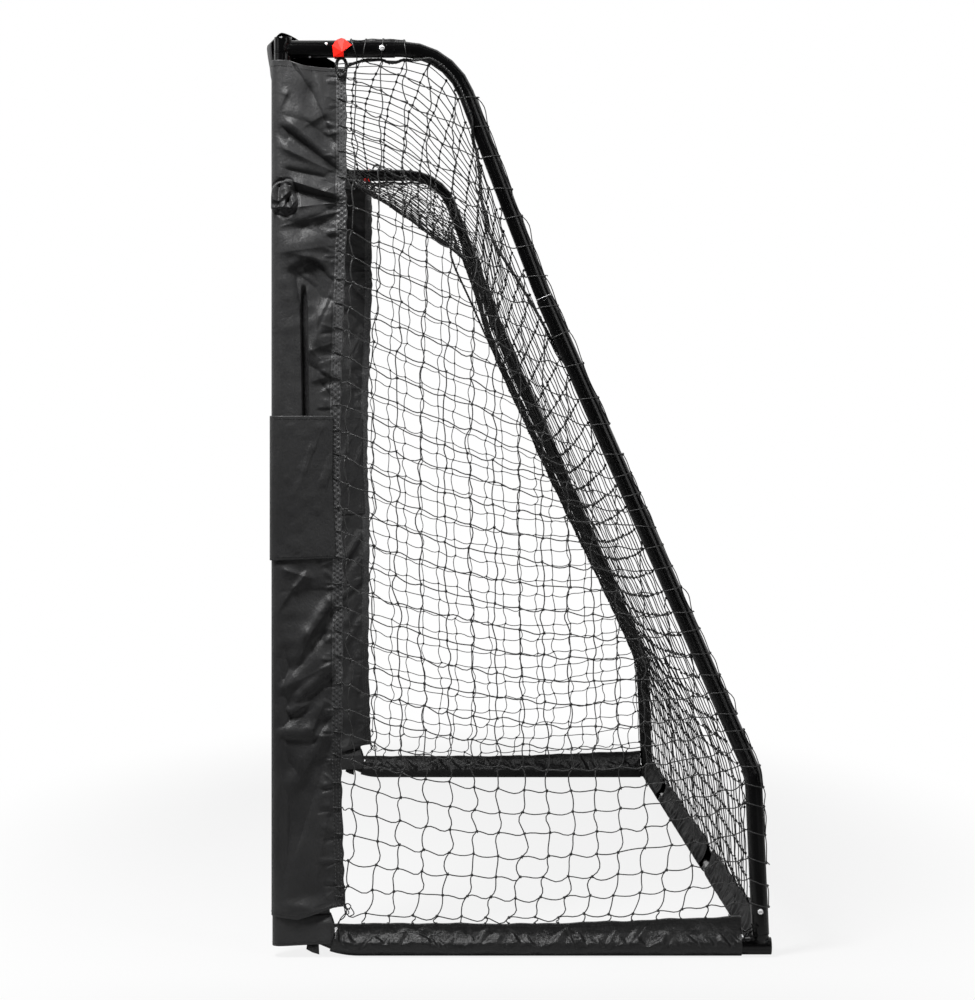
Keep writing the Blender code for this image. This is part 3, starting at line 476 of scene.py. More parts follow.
def rear_limit(z):
    """How far back the frame's inner edge is at this height."""
    return np.interp(-z, -INNER_BACK[:, 1], INNER_BACK[:, 0])


def tube_ring(at, x, radius, tilt=0.0, count=14):
    """A ring of twine round the side tube, at a share of the frame's line."""
    i = int(np.clip(at, 0, 1) * (len(FRAME_FINE) - 1))
    (y, z), (back, up) = FRAME_FINE[i], FRAME_STEP[i]
    first = np.array([0, radius * up + tilt * back, tilt * up - radius * back])
    return (x, y, z) + circle(count, first, np.array([radius, 0, 0]))


def tube_radius(at):
    """The side tube is narrow between the rail's joint and the slope's joint."""
    y, z = FRAME_FINE[int(at * (len(FRAME_FINE) - 1))]
    return NARROW_R if y > POST_Y + 0.243 and z > KINK_Z else WIDE_R


def share_at(y, z):
    """Where along the frame's line a side-plane point lies."""
    return np.argmin((FRAME_FINE[:, 0] - y) ** 2 + (FRAME_FINE[:, 1] - z) ** 2) / (len(FRAME_FINE) - 1)


def hem_y(z):
    """The rear edge of a post cover at this height."""
    return table(z, *HEM_EDGE)


# Materials

def give(tree, made, **values):
    """Sets a node's inputs and settings, each a value or another node's output. An underscore is a space."""
    for key, value in values.items():
        socket = key.replace("_", " ")
        if socket not in made.inputs:
            setattr(made, key, value)
        elif isinstance(value, bpy.types.NodeSocket):
            tree.links.new(value, made.inputs[socket])
        else:
            made.inputs[socket].default_value = value


def node(tree, kind, **values):
    made = tree.nodes.new(kind)
    give(tree, made, **values)
    return made


def coords(tree, scale=(1, 1, 1), turn=(0, 0, 0)):
    place = node(tree, "ShaderNodeTexCoord").outputs["Object"]
    return node(tree, "ShaderNodeMapping", Vector=place, Scale=scale, Rotation=turn).outputs["Vector"]


def axes(tree, vector):
    """The three outputs X, Y and Z of a vector."""
    return node(tree, "ShaderNodeSeparateXYZ", Vector=vector).outputs


def noise(tree, vector, scale, detail=3.0, rough=0.5):
    made = node(tree, "ShaderNodeTexNoise", Vector=vector, Scale=scale, Detail=detail, Roughness=rough)
    return made.outputs["Fac"]


def bands(tree, vector, direction, pitch, distortion):
    scale = 0.314 / pitch
    made = node(tree, "ShaderNodeTexWave", Vector=vector, Scale=scale, Distortion=distortion)
    made.bands_direction = direction
    return made.outputs["Fac"]


def ramp(tree, value, low, high, at=(0.3, 0.7)):
    made = node(tree, "ShaderNodeValToRGB", Fac=value)
    for element, position, colour in zip(made.color_ramp.elements, at, (low, high)):
        element.position = position
        element.color = (*colour, 1)
    return made.outputs["Color"]


def spread(tree, value, low, high, start=0.0, end=1.0, kind="LINEAR"):
    """From low where the value is start to high where it is end."""
    made = node(tree, "ShaderNodeMapRange", Value=value, interpolation_type=kind)
    give(tree, made, From_Min=start, From_Max=end, To_Min=low, To_Max=high)
    return made.outputs["Result"]


def bump(tree, value, distance, strength=1.0, under=None):
    made = node(tree, "ShaderNodeBump", Height=value, Strength=strength, Distance=distance)
    if under is not None:
        give(tree, made, Normal=under)
    return made.outputs["Normal"]


def mixed(tree, kind, a, b):
    made = node(tree, "ShaderNodeMath", operation=kind)
    for slot, value in zip(made.inputs, (a, b)):
        if isinstance(value, (int, float)):
            slot.default_value = value
        else:
            tree.links.new(value, slot)
    return made.outputs["Value"]


def surface(name, dark, light, tone, rough, polish=None, scale=(1, 1, 1)):
    """A material from dark to light over the noise tone; its roughness is fixed or follows the noise polish."""
    made = bpy.data.materials.new(name)
    made.use_nodes = True
    tree = made.node_tree
    vector = coords(tree, scale)
    shader = tree.nodes["Principled BSDF"]
    give(tree, shader, Base_Color=ramp(tree, noise(tree, vector, *tone), dark, light))
    give(tree, shader, Roughness=spread(tree, noise(tree, vector, *polish), *rough) if polish else rough)
    return made, tree, shader, vector


def weave(tree, pitch):
    """Crossing threads of a plain weave on faces that point any way."""
    turns = ((0, 0, 0), (0, math.pi / 2, 0), (0, 0, math.pi / 2))
    x, y, z = (bands(tree, coords(tree, turn=turn), "X", pitch, 0.0) for turn in turns)
    return mixed(tree, "ADD", mixed(tree, "ADD", x, y), z)


def fabric(name, dark, light, roughness, crumple, gloss):
    """Coated woven polyester: threads, soft crumples, and a tone that varies a little."""
    rough = (roughness - 0.05, roughness + 0.08)
    made, tree, shader, vector = surface(name, dark, light, (9.0, 4.0), rough, (40.0, 2.0))
    soft = bump(tree, noise(tree, coords(tree, (1, 1, 0.6)), 34.0, 3.0, 0.55), crumple * 1.3, 0.5)
    fine = bump(tree, noise(tree, vector, 150.0, 3.0, 0.6), crumple * 0.4, 0.8, soft)
    give(tree, shader, Specular_IOR_Level=gloss, Normal=bump(tree, weave(tree, 0.0011), 0.00012, 0.5, fine))
    return made


def coated_steel():
    """Gloss black powder coat with a slight orange peel and dust."""
    dark, light = (0.0012, 0.0012, 0.0013), (0.0022, 0.0022, 0.0023)
    rough = (0.06, 0.11)
    made, tree, shader, vector = surface("black_steel_look", dark, light, (14.0, 5.0), rough, (60.0, 3.0))
    rounded_off = node(tree, "ShaderNodeBevel", samples=8, Radius=0.007).outputs["Normal"]
    peel = bump(tree, noise(tree, vector, 420.0, 1.0), 0.00001, 0.4, rounded_off)
    give(tree, shader, IOR=1.33, Normal=peel)
    return made


def zinc():
    """Pale zinc on the buttons' heads and the rivets, drawn out along the height: the metal's own brightness,
    with a near-white diffuse share as a painted glint.
    """
    dark, light = (0.8, 0.8, 0.81), (0.92, 0.92, 0.92)
    rough, drawn = (0.28, 0.44), (1, 1, 8)
    made, tree, shader, _ = surface("zinc_look", dark, light, (160.0, 3.0), rough, (240.0, 2.0), drawn)
    # Only partly metallic: the near-white diffuse rest paints the glint of the heads
    give(tree, shader, Metallic=0.35)
    return made


def twine_look(name, colour, pitch, gloss=0.32):
    """Black twisted fibre."""
    light = tuple(min(1, c * 2.4) for c in colour)
    made, tree, shader, vector = surface(name, colour, light, (260.0, 4.0), 0.42)
    lay = bands(tree, vector, "DIAGONAL", pitch, 1.5)
    give(tree, shader, Specular_IOR_Level=gloss, Normal=bump(tree, lay, 0.0004, 0.7))
    return made


def plastic(name, dark, light, roughness):
    rough = (roughness - 0.05, roughness + 0.1)
    made, tree, shader, vector = surface(name, dark, light, (60.0, 3.0), rough, (200.0, 2.0))
    grain = bump(tree, noise(tree, vector, 700.0, 1.0), 0.00005, 0.4)
    give(tree, shader, Specular_IOR_Level=0.16, Normal=grain)
    return made


def hem_fabric():
    """The cover's cloth along its hem: paler than the cover as painted sheen, and darker towards the foot as
    painted shade.
    """
    made = fabric("hem_look", (0.034, 0.034, 0.035), (0.078, 0.078, 0.079), 0.4, 0.003, 0.3)
    tree = made.node_tree
    base = tree.nodes["Principled BSDF"].inputs["Base Color"]
    # Painted light: full tone (painted sheen) above 0.62 m, down to 0.4 of it (painted shade) below 0.4 m
    sheen_to_shade = spread(tree, axes(tree, coords(tree))["Z"], 0.4, 1.0, 0.4, 0.62, "SMOOTHSTEP")
    scaled = node(tree, "ShaderNodeVectorMath", operation="SCALE", Scale=sheen_to_shade)
    tree.links.new(base.links[0].from_socket, scaled.inputs[0])
    tree.links.new(scaled.outputs["Vector"], base)
    return made


STEEL = coated_steel()
ZINC = zinc()
HEM = hem_fabric()
COVER = fabric("cover_look", (0.02, 0.02, 0.0205), (0.03, 0.03, 0.0305), 0.42, 0.003, 0.24)
SLEEVE = fabric("sleeve_look", (0.006, 0.006, 0.0062), (0.011, 0.011, 0.0112), 0.34, 0.004, 0.3)
REAR_SLEEVE = fabric("rear_sleeve_look", (0.01, 0.01, 0.0103), (0.017, 0.017, 0.0173), 0.5, 0.004, 0.06)
THREAD = twine_look("thread_look", (0.008, 0.008, 0.008), 0.0008)
TWINE = twine_look("twine_look", (0.013, 0.013, 0.013), 0.0016, 0.4)
HEM_THREAD = twine_look("hem_thread_look", (0.035, 0.035, 0.035), 0.0008, 0.4)
# The back net's twine is the side nets' twine painted darker: painted shade
SHADED_BACK_TWINE = twine_look("shaded_back_twine_look", (0.004, 0.004, 0.004), 0.0016, 0.12)
ROPE = twine_look("rope_look", (0.005, 0.005, 0.005), 0.0022)
RED = plastic("red_look", (0.9, 0.012, 0.006), (0.97, 0.018, 0.009), 0.42)
BLACK = plastic("black_plastic_look", (0.012, 0.012, 0.012), (0.022, 0.022, 0.022), 0.38)


def dress_cad():
    """The hard CAD parts take the looks of their slots; the rear bar's middle buttons are coated too."""
    looks = {"black_steel": STEEL, "zinc_steel": ZINC, "red_plastic": RED, "black_plastic": BLACK}
    for part in frame["record"]["subparts"]:
        name, kind = part["node"], part["material_slot"]
        if kind in looks:
            paints = frame["nodes"][name].data.materials
            paints.clear()
            paints.append(STEEL if name.startswith("rear_bar_button") else looks[kind])


# Nets

def bowed(start, end, bow, snake, count=6):
    """A line from start to end that bows by a vector in its middle and snakes by another."""
    t = np.linspace(0, 1, count)[:, None]
    return start + (end - start) * t + 4 * t * (1 - t) * bow + np.sin(2 * math.pi * t) * snake


def last_inside(near, far, inside):
    """The last point inside the panel on the way from near to far."""
    low, high = 0.0, 1.0
    for _ in range(9):
        share = (low + high) / 2
        low, high = (share, high) if inside(near + (far - near) * share) else (low, share)
    return near + (far - near) * low


def mesh_side(near, far, kind, slack):
    """The twine between two knots: it sags in a row, and leans either way in a column."""
    length = np.linalg.norm(far - near)
    down = np.array([0, 0, -1.0]) if kind == "row" else np.array([0, RNG.choice((-1, 1)), 0.0])
    sag = down * slack * RNG.uniform(0.2, 1.0) * length / MESH + RNG.normal(0, slack * 0.3, 3)
    snake = np.array([0, 0, 1.0]) if kind == "row" else np.array([0, 1.0, 0])
    return bowed(near, far, sag, snake * slack * RNG.uniform(-0.1, 0.5))


def knitted(knot, inside, columns, rows, slack, jitter):
    """The lines, knots and cut ends of a knotted net: a grid of knots, cut where it leaves its panel."""
    shift = RNG.normal(0, jitter, (columns + 1, rows + 1, 3))
    spots = {(i, j): knot(i, j) + shift[i, j] for i in range(columns + 1) for j in range(rows + 1)}
    kept = {key: inside(spot) for key, spot in spots.items()}
    lines, ends = [], []
    for (i, j), here in spots.items():
        for other, kind in (((i + 1, j), "row"), ((i, j + 1), "column")):
            if other not in spots or not (kept[i, j] or kept[other]):
                continue
            near, far = (here, spots[other]) if kept[i, j] else (spots[other], here)
            if not (kept[i, j] and kept[other]):
                far = last_inside(near, far, inside)
                ends.append((kind, far))
                if np.linalg.norm(far - near) < 0.004:
                    continue
            lines.append(mesh_side(near, far, kind, slack(here)))
    return lines, [spots[key] for key in spots if kept[key]], ends


def knot_rings(centre):
    """Two turns of twine round the crossing, as a knot shows."""
    radius = 0.0025
    rings = []
    for lean, lift in ((0.5, 0.0009), (-0.5, -0.0009)):
        angle = lean + RNG.normal(0, 0.3)
        across = radius * np.array([0, math.cos(angle), math.sin(angle)])
        rings.append(centre + (0, 0, lift) + circle(7, across, np.array([radius, 0, 0])))
    return rings


def side_spot(x):
    """The knots of a side net: rows fall from the cover and level out low down; columns hang nearly plumb."""

    def place(i, k):
        anchor = NET_FOOT + MESH * (k - 1)
        back = COLUMN_PITCH * (i - 1)
        z = anchor - table(anchor, *ROW_FALL) * back + table(anchor, *ROW_LIFT) * back * back
        return np.array([x, NET_FRONT + back + table(z, *DRIFT), z])

    return place


def side_inside(point):
    _, y, z = point
    top = RAIL_Z - WIDE_R - 0.0015
    return hem_y(z) + 0.001 < y < rear_limit(z) and table(y, *SLEEVE_EDGE) < z < top


def side_slack(spot):
    return table(spot[2], *SIDE_SLACK)


def cover_surface(grid, side, y, z):
    """The x of a post cover's outer face at a side-plane point."""
    row = grid[np.argmin(np.abs(grid[:, 6, 2] - z))]
    half = len(row) // 2
    face = row[:half] if side > 0 else row[-half:]
    return face[np.argmin(np.abs(face[:, 1] - y)), 0]


def hem_lacing(end, side, cover):
    """The twine that laces one end of the net over the cover's hem."""
    rise = RNG.normal(0.0035, 0.0035)
    points = [end, end + (side * 0.0062, -0.001, 0.0)]
    for back, share, proud in ((0.006, 0.3, 0.0016), (0.013, 0.7, 0.0016), (HEM_WIDTH, 1.0, -0.001)):
        y, z = end[1] - back, end[2] + rise * share
        points.append((cover_surface(cover, side, y, z) + side * proud, y, z))
    return smooth_line(points, 9)


def side_net(side_name, side, cover):
    """The net of one side, tied to the cover's hem, the rail, the slope and the base sleeve."""
    x = side * HALF
    jitter = (0.0012, 0.0022, 0.0016)
    lines, knots, ends = knitted(side_spot(x), side_inside, SIDE_COLUMNS, SIDE_ROWS, side_slack, jitter)
    corner = np.array([x, *seen(*PHOTO_HEM_CORNER)])
    rings, ties, tied = [], [], []
    for kind, end in ends:
        if end[1] < hem_y(end[2]) + 0.004:
            if end[2] < HEM_FOOT:
                lines.append(smooth_line([end, (end + corner) / 2 + (side * 0.004, 0.003, 0.0), corner], 7))
                ties.append(corner)
            else:
                lines.append(hem_lacing(end, side, cover))
        elif kind == "row" or end[2] > RAIL_Z - 0.03:
            lean = RNG.normal(-0.0065, 0.002) if kind == "row" else RNG.normal(0.0, 0.005)
            at = min(1.0, share_at(end[1], end[2]) - lean / FRAME_LENGTH)
            ring = tube_ring(at, x, tube_radius(at) + 0.0012, lean)
            rings.append(ring)
            tied.append((at, ring[7], ring[7] - ring[0]))
            ties.append(ring[7])
        else:
            ties.append(end)
    for centre in knots:
        rings.extend(knot_rings(centre))
    net = twines(f"side_net_look_{side_name}", lines, TWINE_R, 6, TWINE, rings)
    keep(net, "net_twine", f"side_net_{side_name}")
    sizes = RNG.uniform(0.0027, 0.0037, (len(knots) + len(ties), 3))
    keep(blobs(f"side_knots_{side_name}", knots + ties, sizes, TWINE), "net_twine")
    return tied


def hem_droop(share):
    """How far the crossbar cover's hem hangs down at a share from -1 to 1 of the width."""
    return HEM_SAG * max(0.0, 1 - share * share) ** 1.5


def hem_of_crossbar(share):
    """The side-plane point of the crossbar cover's hem at a share from -1 to 1 of the width."""
    return np.array([POST_Y + 0.1025 + 0.012 * abs(share) ** 8, RAIL_Z - 0.03 - hem_droop(share)])


def rope_drop(z, side):
    """How far before the upper slope's axis the border rope hangs at this height."""
    return table(z, *ROPE_DROP[side])


def back_edge(rows, side):
    """The net's line at one side, from the crossbar cover's hem along the rope to the rear bar's sleeve."""
    points = [hem_of_crossbar(1)]
    for centre, inner, step in list(zip(FRAME_FINE, frame_inside(WIDE_R + 0.004), FRAME_STEP))[::12]:
        if inner[0] > POST_Y + 0.2 and inner[1] > FIN_TOP + 0.02:
            drop = rope_drop(centre[1], side)
            hanging = step[1] < -0.5 and drop > WIDE_R + 0.0045
            points.append(inner - (0.1 * drop, 0) if hanging else inner)
    points.append(np.array([FOOT_Y, FIN_TOP]))
    return resample(points, rows + 1)


def back_middle(rows):
    """The net's line half way between the sides."""
    middle = [hem_of_crossbar(0), (POST_Y + 0.322, RAIL_Z - 0.291), (POST_Y + 0.436, RAIL_Z - 0.377)]
    for z, sag in ((1.4, 0.07), (1.1, 0.06), (0.8, 0.05)):
        y = KINK_Y + (KINK_Z - z) * math.tan(BACK_LEAN)
        middle.append((y - (WIDE_R + sag) * math.cos(BACK_LEAN), z - sag * math.sin(BACK_LEAN)))
    sag = 0.03
    middle.append((KNEE_Y - (WIDE_R + sag) * math.cos(LEG_LEAN), KNEE_Z - sag * math.sin(LEG_LEAN)))
    middle.append((FOOT_Y, FIN_TOP))
    return smooth_line(middle, rows + 1)


def back_net():
    """Roof and back of the net in one piece, sagging between the two sides."""
    edges = {side: back_edge(BACK_ROWS, side) for side in (1, -1)}
    middle = back_middle(BACK_ROWS)

    def spot(i, j):
        across = 2 * i / BACK_COLUMNS - 1
        edge = edges[1 if across > 0 else -1]
        hang = 1 - abs(across) ** table(j, *SAG_SHAPES)
        flat = edge[j] + (middle[j] - edge[j]) * hang
        near_hem = max(0.0, 1 - j / 3)
        flat = flat + (hem_of_crossbar(across) - edge[0] - (middle[0] - edge[0]) * hang) * near_hem
        flat[0] -= 0.14 * hang * (1 - hang) * table(j, *ROW_LEAN)
        reach = HALF - 0.004 - 0.016 * rising(j, 36, 5) - 0.004 * near_hem
        return np.array([across * reach, flat[0], flat[1]])

    jitter = (0.0012, 0.0011, 0.0011)
    lines, knots, _ = knitted(spot, lambda _: True, BACK_COLUMNS, BACK_ROWS, lambda _: 0.0018, jitter)
    net = twines("back_net_look", lines, TWINE_R * 0.92, 4, SHADED_BACK_TWINE)
    keep(net, "net_twine", "roof_net", "back_net")
    sizes = RNG.uniform(0.003, 0.004, (len(knots), 3))
    keep(blobs("back_knots", knots, sizes, SHADED_BACK_TWINE, 5), "net_twine")


# Ropes

def twisted(line, radius, strands=3, lay=0.022):
    """The lines of the strands of a laid rope along a line."""
    line = np.asarray(line, float)
    along = np.gradient(line, axis=0)
    along /= np.linalg.norm(along, axis=1)[:, None]
    across = np.cross(along, (1.0, 0.0, 0.0))
    across /= np.linalg.norm(across, axis=1)[:, None]
    other = np.cross(along, across)
    made = []
    for n in range(strands):
        turn = (run_length(line) / lay * 2 * math.pi + 2 * math.pi * n / strands)[:, None]
        made.append(line + radius * (np.cos(turn) * across + np.sin(turn) * other))
    return made


def rope_route(side):
    """The border rope's axis: wavy under the rail, sagging free beside the upper slope."""
    x = side * HALF
    tuck_z = 1.36 if side > 0 else 1.06
    route = []
    for centre, point, step in zip(FRAME_FINE, frame_inside(ROPE_OFF), FRAME_STEP):
        if point[0] < POST_Y + 0.165 or point[1] < 0.1:
            continue
        out = rising(centre[0], -0.235, 0.05) * rising(centre[1], 1.76, 0.05)
        tuck = rising(tuck_z - centre[1], 0, 0.08) * (centre[0] > BEND_Y)
        angle = math.radians(68 * out - 55 * tuck)
        point = centre + (point - centre) * math.cos(angle)
        if step[1] < -0.5 and rope_drop(centre[1], side) > ROPE_OFF + 0.0003:
            point = centre - (rope_drop(centre[1], side), 0)
        wave = 0.0035 * math.sin(point[0] * 75) * (step[1] > -0.3) * (1 - out)
        route.append((x + side * ROPE_OFF * math.sin(angle), point[0], point[1] + wave - abs(wave)))
    loop = (x + side * 0.0105, POST_Y + 0.131, RAIL_Z - 0.05)
    rail = (x + side * 0.006, POST_Y + 0.142, RAIL_Z - 0.037)
    return smooth_line([loop, rail, *route[::10]], 620)


def border_rope(side_name, side):
    """The laid rope that carries the net's edge, with the lashing that ties the two."""
    line = rope_route(side)
    rope = twines(f"border_rope_{side_name}", twisted(line, 0.0019), 0.0019, 5, ROPE)
    keep(rope, "net_twine", f"net_rope_{side_name}")
    whips = []
    for i in range(14, len(line) - 10, 17):
        along = line[i + 1] - line[i - 1]
        along /= np.linalg.norm(along)
        across = np.cross(along, (1.0, 0, 0))
        lean = RNG.normal(0, 0.0016)
        whips.append(line[i] + circle(9, 0.0042 * across + lean * along, np.array([0.0042, 0, 0])))
    keep(twines(f"rope_lashing_{side_name}", [], 0.0009, 5, TWINE, whips), "net_twine")


def outer_twine(side_name, side, tied):
    """The side net's edge twine from tie to tie outside the tube, with loose arcs and cut ends."""
    rng = np.random.default_rng(7 + side)
    over_tube = 0.0202
    lines = []
    tied = sorted(tied, key=lambda tie: tie[0])
    for (_, here, way), (_, there, _) in zip(tied, tied[1:]):
        way = way / np.linalg.norm(way)
        reach = rng.choice((0.0015, 0.0035, 0.007), p=(0.45, 0.35, 0.2))
        if rng.random() < 0.85:
            lines.append(bowed(here, there, way * reach, way * reach * 0.3, 7))
        if rng.random() < 0.7:
            depth = rng.uniform(0.006, 0.013)
            flat = over_tube - math.sqrt(over_tube**2 - depth**2)
            lines.append(bowed(here, there, (side * depth, 0, 0) - way * flat, (side * 0.001, 0, 0), 9))
        if rng.random() < 0.12:
            tip = here + way * rng.uniform(0.004, 0.009) + (side * 0.002, 0, rng.uniform(-0.004, 0.004))
            lines.append(bowed(here, tip, np.array([0, 0, 0.002]), np.zeros(3)))
    keep(twines(f"outer_twine_{side_name}", lines, TWINE_R * 0.9, 5, TWINE), "net_twine")


def cord_loop(side_name, side):
    """The laid cord that hangs as a loop below the clip."""
    low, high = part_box(f"cord_loop_{side_name}")
    centre = (low + high) / 2
    turn = np.linspace(0, 2 * math.pi, 90)
    x = np.full(90, centre.x) + side * 0.0012 * np.sin(3 * turn)
    y = centre.y + (high.y - low.y) / 2 * np.cos(turn) * (0.92 + 0.1 * np.sin(turn))
    z = centre.z + (high.z - low.z) / 2 * np.sin(turn)
    strands = twisted(np.stack([x, y, z], 1), 0.0019, 3, 0.016)
    keep(twines(f"clip_loop_{side_name}", strands, 0.0019, 6, ROPE), "net_twine", f"cord_loop_{side_name}")


def rail_tangle():
    """The loop of spare cord that stands on the far rail."""
    foot = (-HALF, -0.357, RAIL_Z + WIDE_R)
    spots = [(0.006, -0.012, 0.0), (0.006, -0.006, 0.011), (0.003, 0.004, 0.016)]
    spots += [(0.0, 0.011, 0.008), (0.002, 0.006, -0.001)]
    line = smooth_line(np.array(spots) + foot, 30)
    keep(twines("rail_tangle", twisted(line, 0.0015), 0.0016, 5, ROPE), "net_twine")


def hem_tangle(side_name, side):
    """Knotted ends of twine at the lower corner of a cover's hem, one of them tied to the base sleeve."""
    lines = []
    for n, spots in enumerate(PHOTO_HEM_ENDS):
        lines.append(smooth_line([(side * (HALF + 0.003 + 0.001 * n), *seen(u, v)) for u, v in spots], 14))
    keep(twines(f"hem_tangle_{side_name}", lines, TWINE_R, 5, TWINE), "net_twine")


def corner_tie(side_name, side):
    """The cord that ties the sleeve and the net to the foot of the leg, dark and glossy, with loose ends."""
    out = side * (WIDE_R + 0.003)
    lines = []
    for spots in PHOTO_CORNER_CORD:
        lines.append(smooth_line([(side * HALF + out * share, *seen(u, v)) for u, v, share in spots], 16))
    keep(twines(f"corner_tie_{side_name}", lines, 0.0016, 6, STEEL), "net_twine")
    knot = [(side * (HALF + 0.001) + out, *seen(*PHOTO_CORNER_KNOT))]
    keep(blobs(f"corner_knot_{side_name}", knot, [(0.0035, 0.0045, 0.0045)], STEEL, 8), "net_twine")


# Small hard pieces

def rail_clip(side_name, side):
    """The red clip: a faceted body on the outer side of the rail, with two hooks under it."""
    x = side * (HALF + WIDE_R - 0.002)
    points = [(x + side * out, *seen(u, v)) for u, v, out in PHOTO_CLIP]
    points += [(x, *seen(u, v)) for u, v, _ in PHOTO_CLIP[:8]]
    faces = [(0, 1, 2, 3, 4, 8), (8, 4, 5), (0, 8, 5, 6, 7), tuple(range(16, 8, -1))]
    for j in range(8):
        k = (j + 1) % 8
        faces.append((9 + j, 9 + k, k, j))
    body = new_mesh(f"rail_clip_look_{side_name}", points, faces, RED, smooth=False)
    edge = body.modifiers.new("edge", "BEVEL")
    edge.width = 0.0009
    edge.segments = 2
    keep(body, "red_plastic", f"rail_clip_{side_name}")
    middle = middle_of(f"rail_clip_{side_name}").y
    for n, (back, front) in enumerate(((0.008, 0.001), (-0.005, -0.012))):
        band = []
        for angle in np.linspace(math.radians(-10), math.radians(-146), 18):
            for lift, wide in ((0.0004, back), (0.0004, front), (0.0026, front), (0.0026, back)):
                out, up = (WIDE_R + lift) * math.cos(angle), (WIDE_R + lift) * math.sin(angle)
                band.append((side * (HALF + out), middle + wide, RAIL_Z + up))
        hook = skin(f"rail_clip_hook_{side_name}_{n}", np.array(band).reshape(-1, 4, 3), RED, smooth=False)
        keep(hook, "red_plastic")


def joint_edge_highlight(side_name, side):
    """A pale zinc ring round the wide tube's end where the narrow one enters it: a painted highlight on that
    edge.
    """
    at = share_at(KINK_Y + 0.005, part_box(f"lower_side_tube_{side_name}")[1].z - 0.004)
    # The pale ring paints the highlight on the tube end's edge
    ring = tube_ring(at, side * HALF, WIDE_R + 0.0001, count=40)
    keep(twines(f"joint_edge_highlight_{side_name}", [], 0.0006, 6, ZINC, [ring]), "zinc_steel")


def rivets(side_name, side):
    """Small bright rivets of the rail stub."""
    centres, sizes = [], []
    for u, v, size in PHOTO_RIVETS:
        y, z = seen(u, v)
        up = (z - RAIL_Z) / WIDE_R
        out = WIDE_R * math.sqrt(max(0.0, 1 - up * up)) + 0.0004
        centres.append((side * (HALF + out), y, z))
        sizes.append((0.0012, size, size))
    keep(blobs(f"rail_rivets_{side_name}", centres, sizes, ZINC, 10), "zinc_steel")


def eyelets(side_name, side):
    """Three small bright rings at the front end of the base sleeve."""
    size = 0.0026
    rings = []
    for u, v, out in PHOTO_EYELETS:
        centre = (side * (HALF + out), *seen(u, v))
        rings.append(centre + circle(12, np.array([0, size, 0]), np.array([0, 0, size])))
    keep(twines(f"sleeve_eyelets_{side_name}", [], 0.001, 6, ZINC, rings), "zinc_steel")


def head_slot_shades(side_name, side):
    """A black line across the heads of the two side buttons that show: painted shade standing for a slot."""
    half = 0.0044
    for kind in ("rail_button", "leg_button"):
        name = f"{kind}_{side_name}"
        item = frame["nodes"][name]
        points = np.array([item.matrix_world @ corner.co for corner in item.data.vertices])
        out = side * points[:, 0]
        _, y, z = points[out > out.max() - 0.0005].mean(0)
        x = side * out.max()
        sunk = side * 0.0004
        # The black thread lies on the zinc head: painted slot shade, not a groove
        line = [(x - sunk, y - half, z), (x, y, z + 0.0002), (x - sunk, y + half, z)]
        keep(twines(f"{kind}_slot_{side_name}", [line], 0.0007, 6, BLACK), "zinc_steel", body=name)


# Cloth

def folds_height(y, z, folds):
    """How far the cloth stands out at side-plane points: a sum of creases from fold()."""
    total = np.zeros_like(y)
    for y1, z1, y2, z2, width, height, skew in folds:
        dy, dz = y2 - y1, z2 - z1
        length = math.hypot(dy, dz)
        dy, dz = dy / length, dz / length
        past = (y - y1) * dy + (z - z1) * dz
        off = ((y - y1) * dz - (z - z1) * dy) / width
        over = np.clip(-past, 0, None) + np.clip(past - length, 0, None)
        fade = np.exp(-((over / width) ** 2) * 0.4)
        size = np.abs(off)
        total += height * fade * (np.exp(-(size**CREASE)) + 0.8 * skew * off * np.exp(-size * size * 0.45))
    return total


COVER_FOLDS = [fold(*noted) for noted in PHOTO_COVER_FOLDS]
LUMP_FOLDS = [fold(*noted) for noted in PHOTO_LUMP_FOLDS]
BAND_FOLDS = [fold(*noted) for noted in PHOTO_BAND_FOLDS]


def bulges(y, z):
    """Broad loose places of the cover, between where the net's lacing pulls it in."""
    total = np.zeros_like(y)
    for u, v, wide, high, height in PHOTO_BULGES:
        y0, z0 = seen(u, v)
        a, b = (y - y0) * PHOTO_SCALE / wide, (z - z0) * PHOTO_SCALE / high
        total += height * np.exp(-(a**2) - b**2)
    return total


def pocket(y, z):
    """The deep upright fold beside the post, open at the top into a hollow."""
    (y1, z1), (y2, z2) = (seen(*spot) for spot in PHOTO_POCKET)
    share = (z1 - z) / (z1 - z2)
    middle = y1 + (y2 - y1) * share
    wide = table(share, (-0.02, 0.0042), (0.2, 0.0062), (1.0, 0.0058))
    high = np.clip(share / 0.18 + 0.1, 0, 1) * (share < 1.05)
    return high / (1 + ((y - middle) / wide) ** 12)


def hem_puckers(seed):
    """Small folds that the net's lacing draws in the cloth before the hem, at each mesh."""
    rng = np.random.default_rng(seed)
    made = []
    for k in range(1, 35):
        z = NET_FOOT + MESH * k + 0.003
        y = hem_y(z) - 0.014
        for lean in (-1, -0.2, 1):
            reach = rng.uniform(0.014, 0.032)
            turn = lean * rng.uniform(0.25, 1.0)
            tip = (y - reach * math.cos(turn), z + reach * math.sin(turn))
            width = rng.uniform(0.0035, 0.006)
            height = rng.uniform(0.0016, 0.0036) * rng.choice((-1, 1, 1))
            made.append((y + 0.004, z + lean * 0.004, *tip, width, height, rng.uniform(-1.2, 1.2)))
    return made


